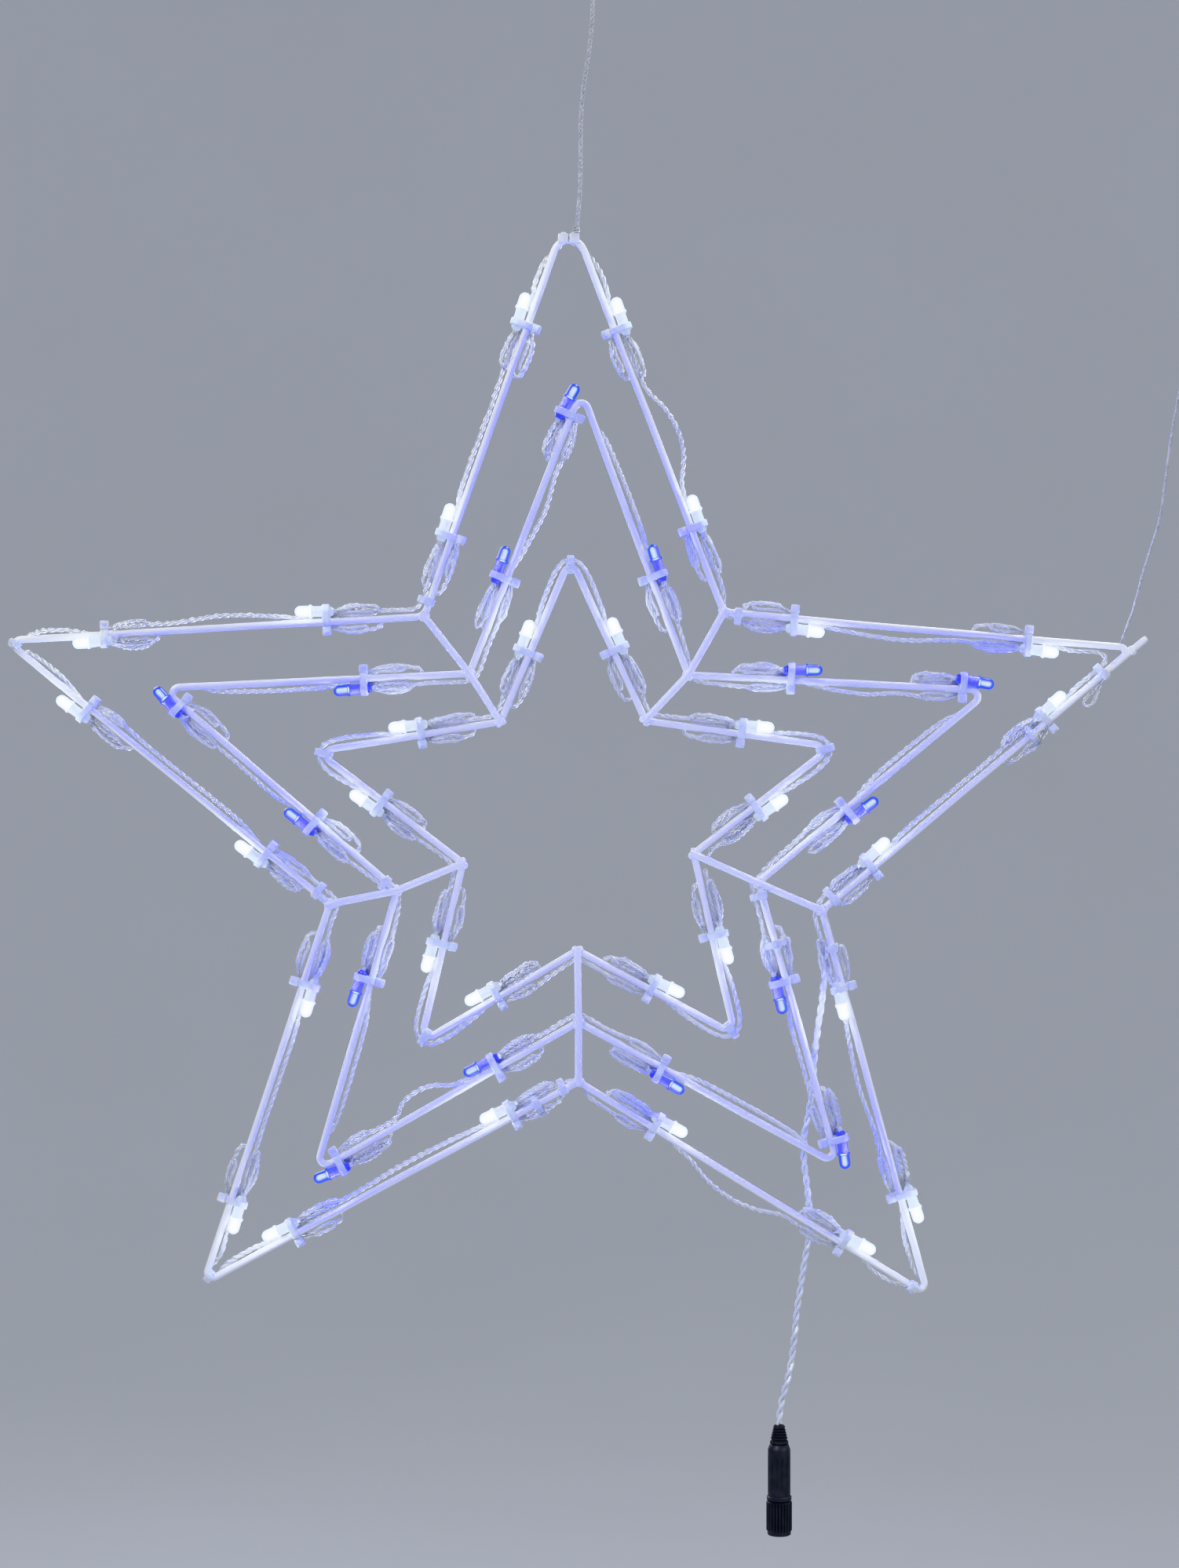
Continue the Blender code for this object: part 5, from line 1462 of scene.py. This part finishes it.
ties = Shape()
for n, i, share in SIDE_TIES:
    _, length, ahead, _ = stars[n].side(i)
    plain_tie(ties, stars[n].place(i, share * length, 0, 0), ahead)
for n, corner in TIP_TIES:
    tip, outward = tip_top(stars[n], corner)
    plain_tie(ties, tip, Vector((outward.z, 0, -outward.x)))
ties.join(clips(), frame_of(across_top, outward_top, BACK, top + centre))
ties.piece("plain_ties", "clear_cable", sharp=35)


# The small loop of spare cable at the right tip

_, length, ahead, normal = outer.side(ROD_END_SIDE)
tip_loop = Shape()
add_pair(tip_loop, flowing([[MM * c for c in point] for point in TIP_LOOP], STRAND_STEP))
tip_loop.piece("tip_loop", "clear_cable", sharp=80, matrix=frame_of(
    ahead, normal, BACK, outer.place(ROD_END_SIDE, TIP_LOOP_SHARE * length, 0, 0) + centre))


# Room

def bowl():
    """A pale floor that sweeps up all round into a far wall, and gives off the studio's even light."""
    sweep = [math.pi / 2 * k / BOWL_STEPS for k in range(1, BOWL_STEPS + 1)]
    profile = [(BOWL_FLAT, 0.0)]
    profile += [(BOWL_FLAT + BOWL_SWEEP * math.sin(a), BOWL_SWEEP * (1 - math.cos(a))) for a in sweep]
    profile.append((BOWL_FLAT + BOWL_SWEEP, BOWL_HEIGHT))
    turns = [2 * math.pi * k / BOWL_SIDES for k in range(BOWL_SIDES)]
    points = [(0, 0, 0)] + [(radius * math.cos(turn), radius * math.sin(turn), height)
                            for radius, height in profile for turn in turns]
    faces = [(0, 1 + k, 1 + (k + 1) % BOWL_SIDES) for k in range(BOWL_SIDES)]
    faces += [tuple(1 + n for n in face[::-1]) for face in ring_faces(len(profile), BOWL_SIDES)]
    data = bpy.data.meshes.new("studio_bowl")
    data.from_pydata(points, [], faces)
    data.shade_smooth()
    darker = tuple(0.96 * c for c in PAPER)
    data.materials.append(material("pale_paper", PAPER, 0.9, colours=(darker, PAPER, 3.0),
                                   Emission_Color=(*PAPER_GLOW, 1), Emission_Strength=1.0))
    placed("studio_bowl", data, (0, 0, cad_low.z - FLOOR_DROP))


def soft_light(name, place, size, energy, colour):
    """A round studio lamp that faces the star."""
    data = bpy.data.lights.new(name, "AREA")
    data.shape, data.size, data.energy, data.color = "DISK", size, energy, colour
    placed(name, data, place).rotation_euler = (aim - Vector(place)).to_track_quat("-Z", "Y").to_euler()


def even_world():
    """The faint even light from all round."""
    world = bpy.data.worlds.new("studio")
    world.use_nodes = True
    set_inputs(world.node_tree.nodes["Background"], {"Color": (*WORLD_COLOUR, 1), "Strength": WORLD_STRENGTH})
    bpy.context.scene.world = world


bowl()
for light in SOFT_LIGHTS:
    soft_light(*light)
even_world()
bpy.context.scene.view_settings.view_transform = "Khronos PBR Neutral"
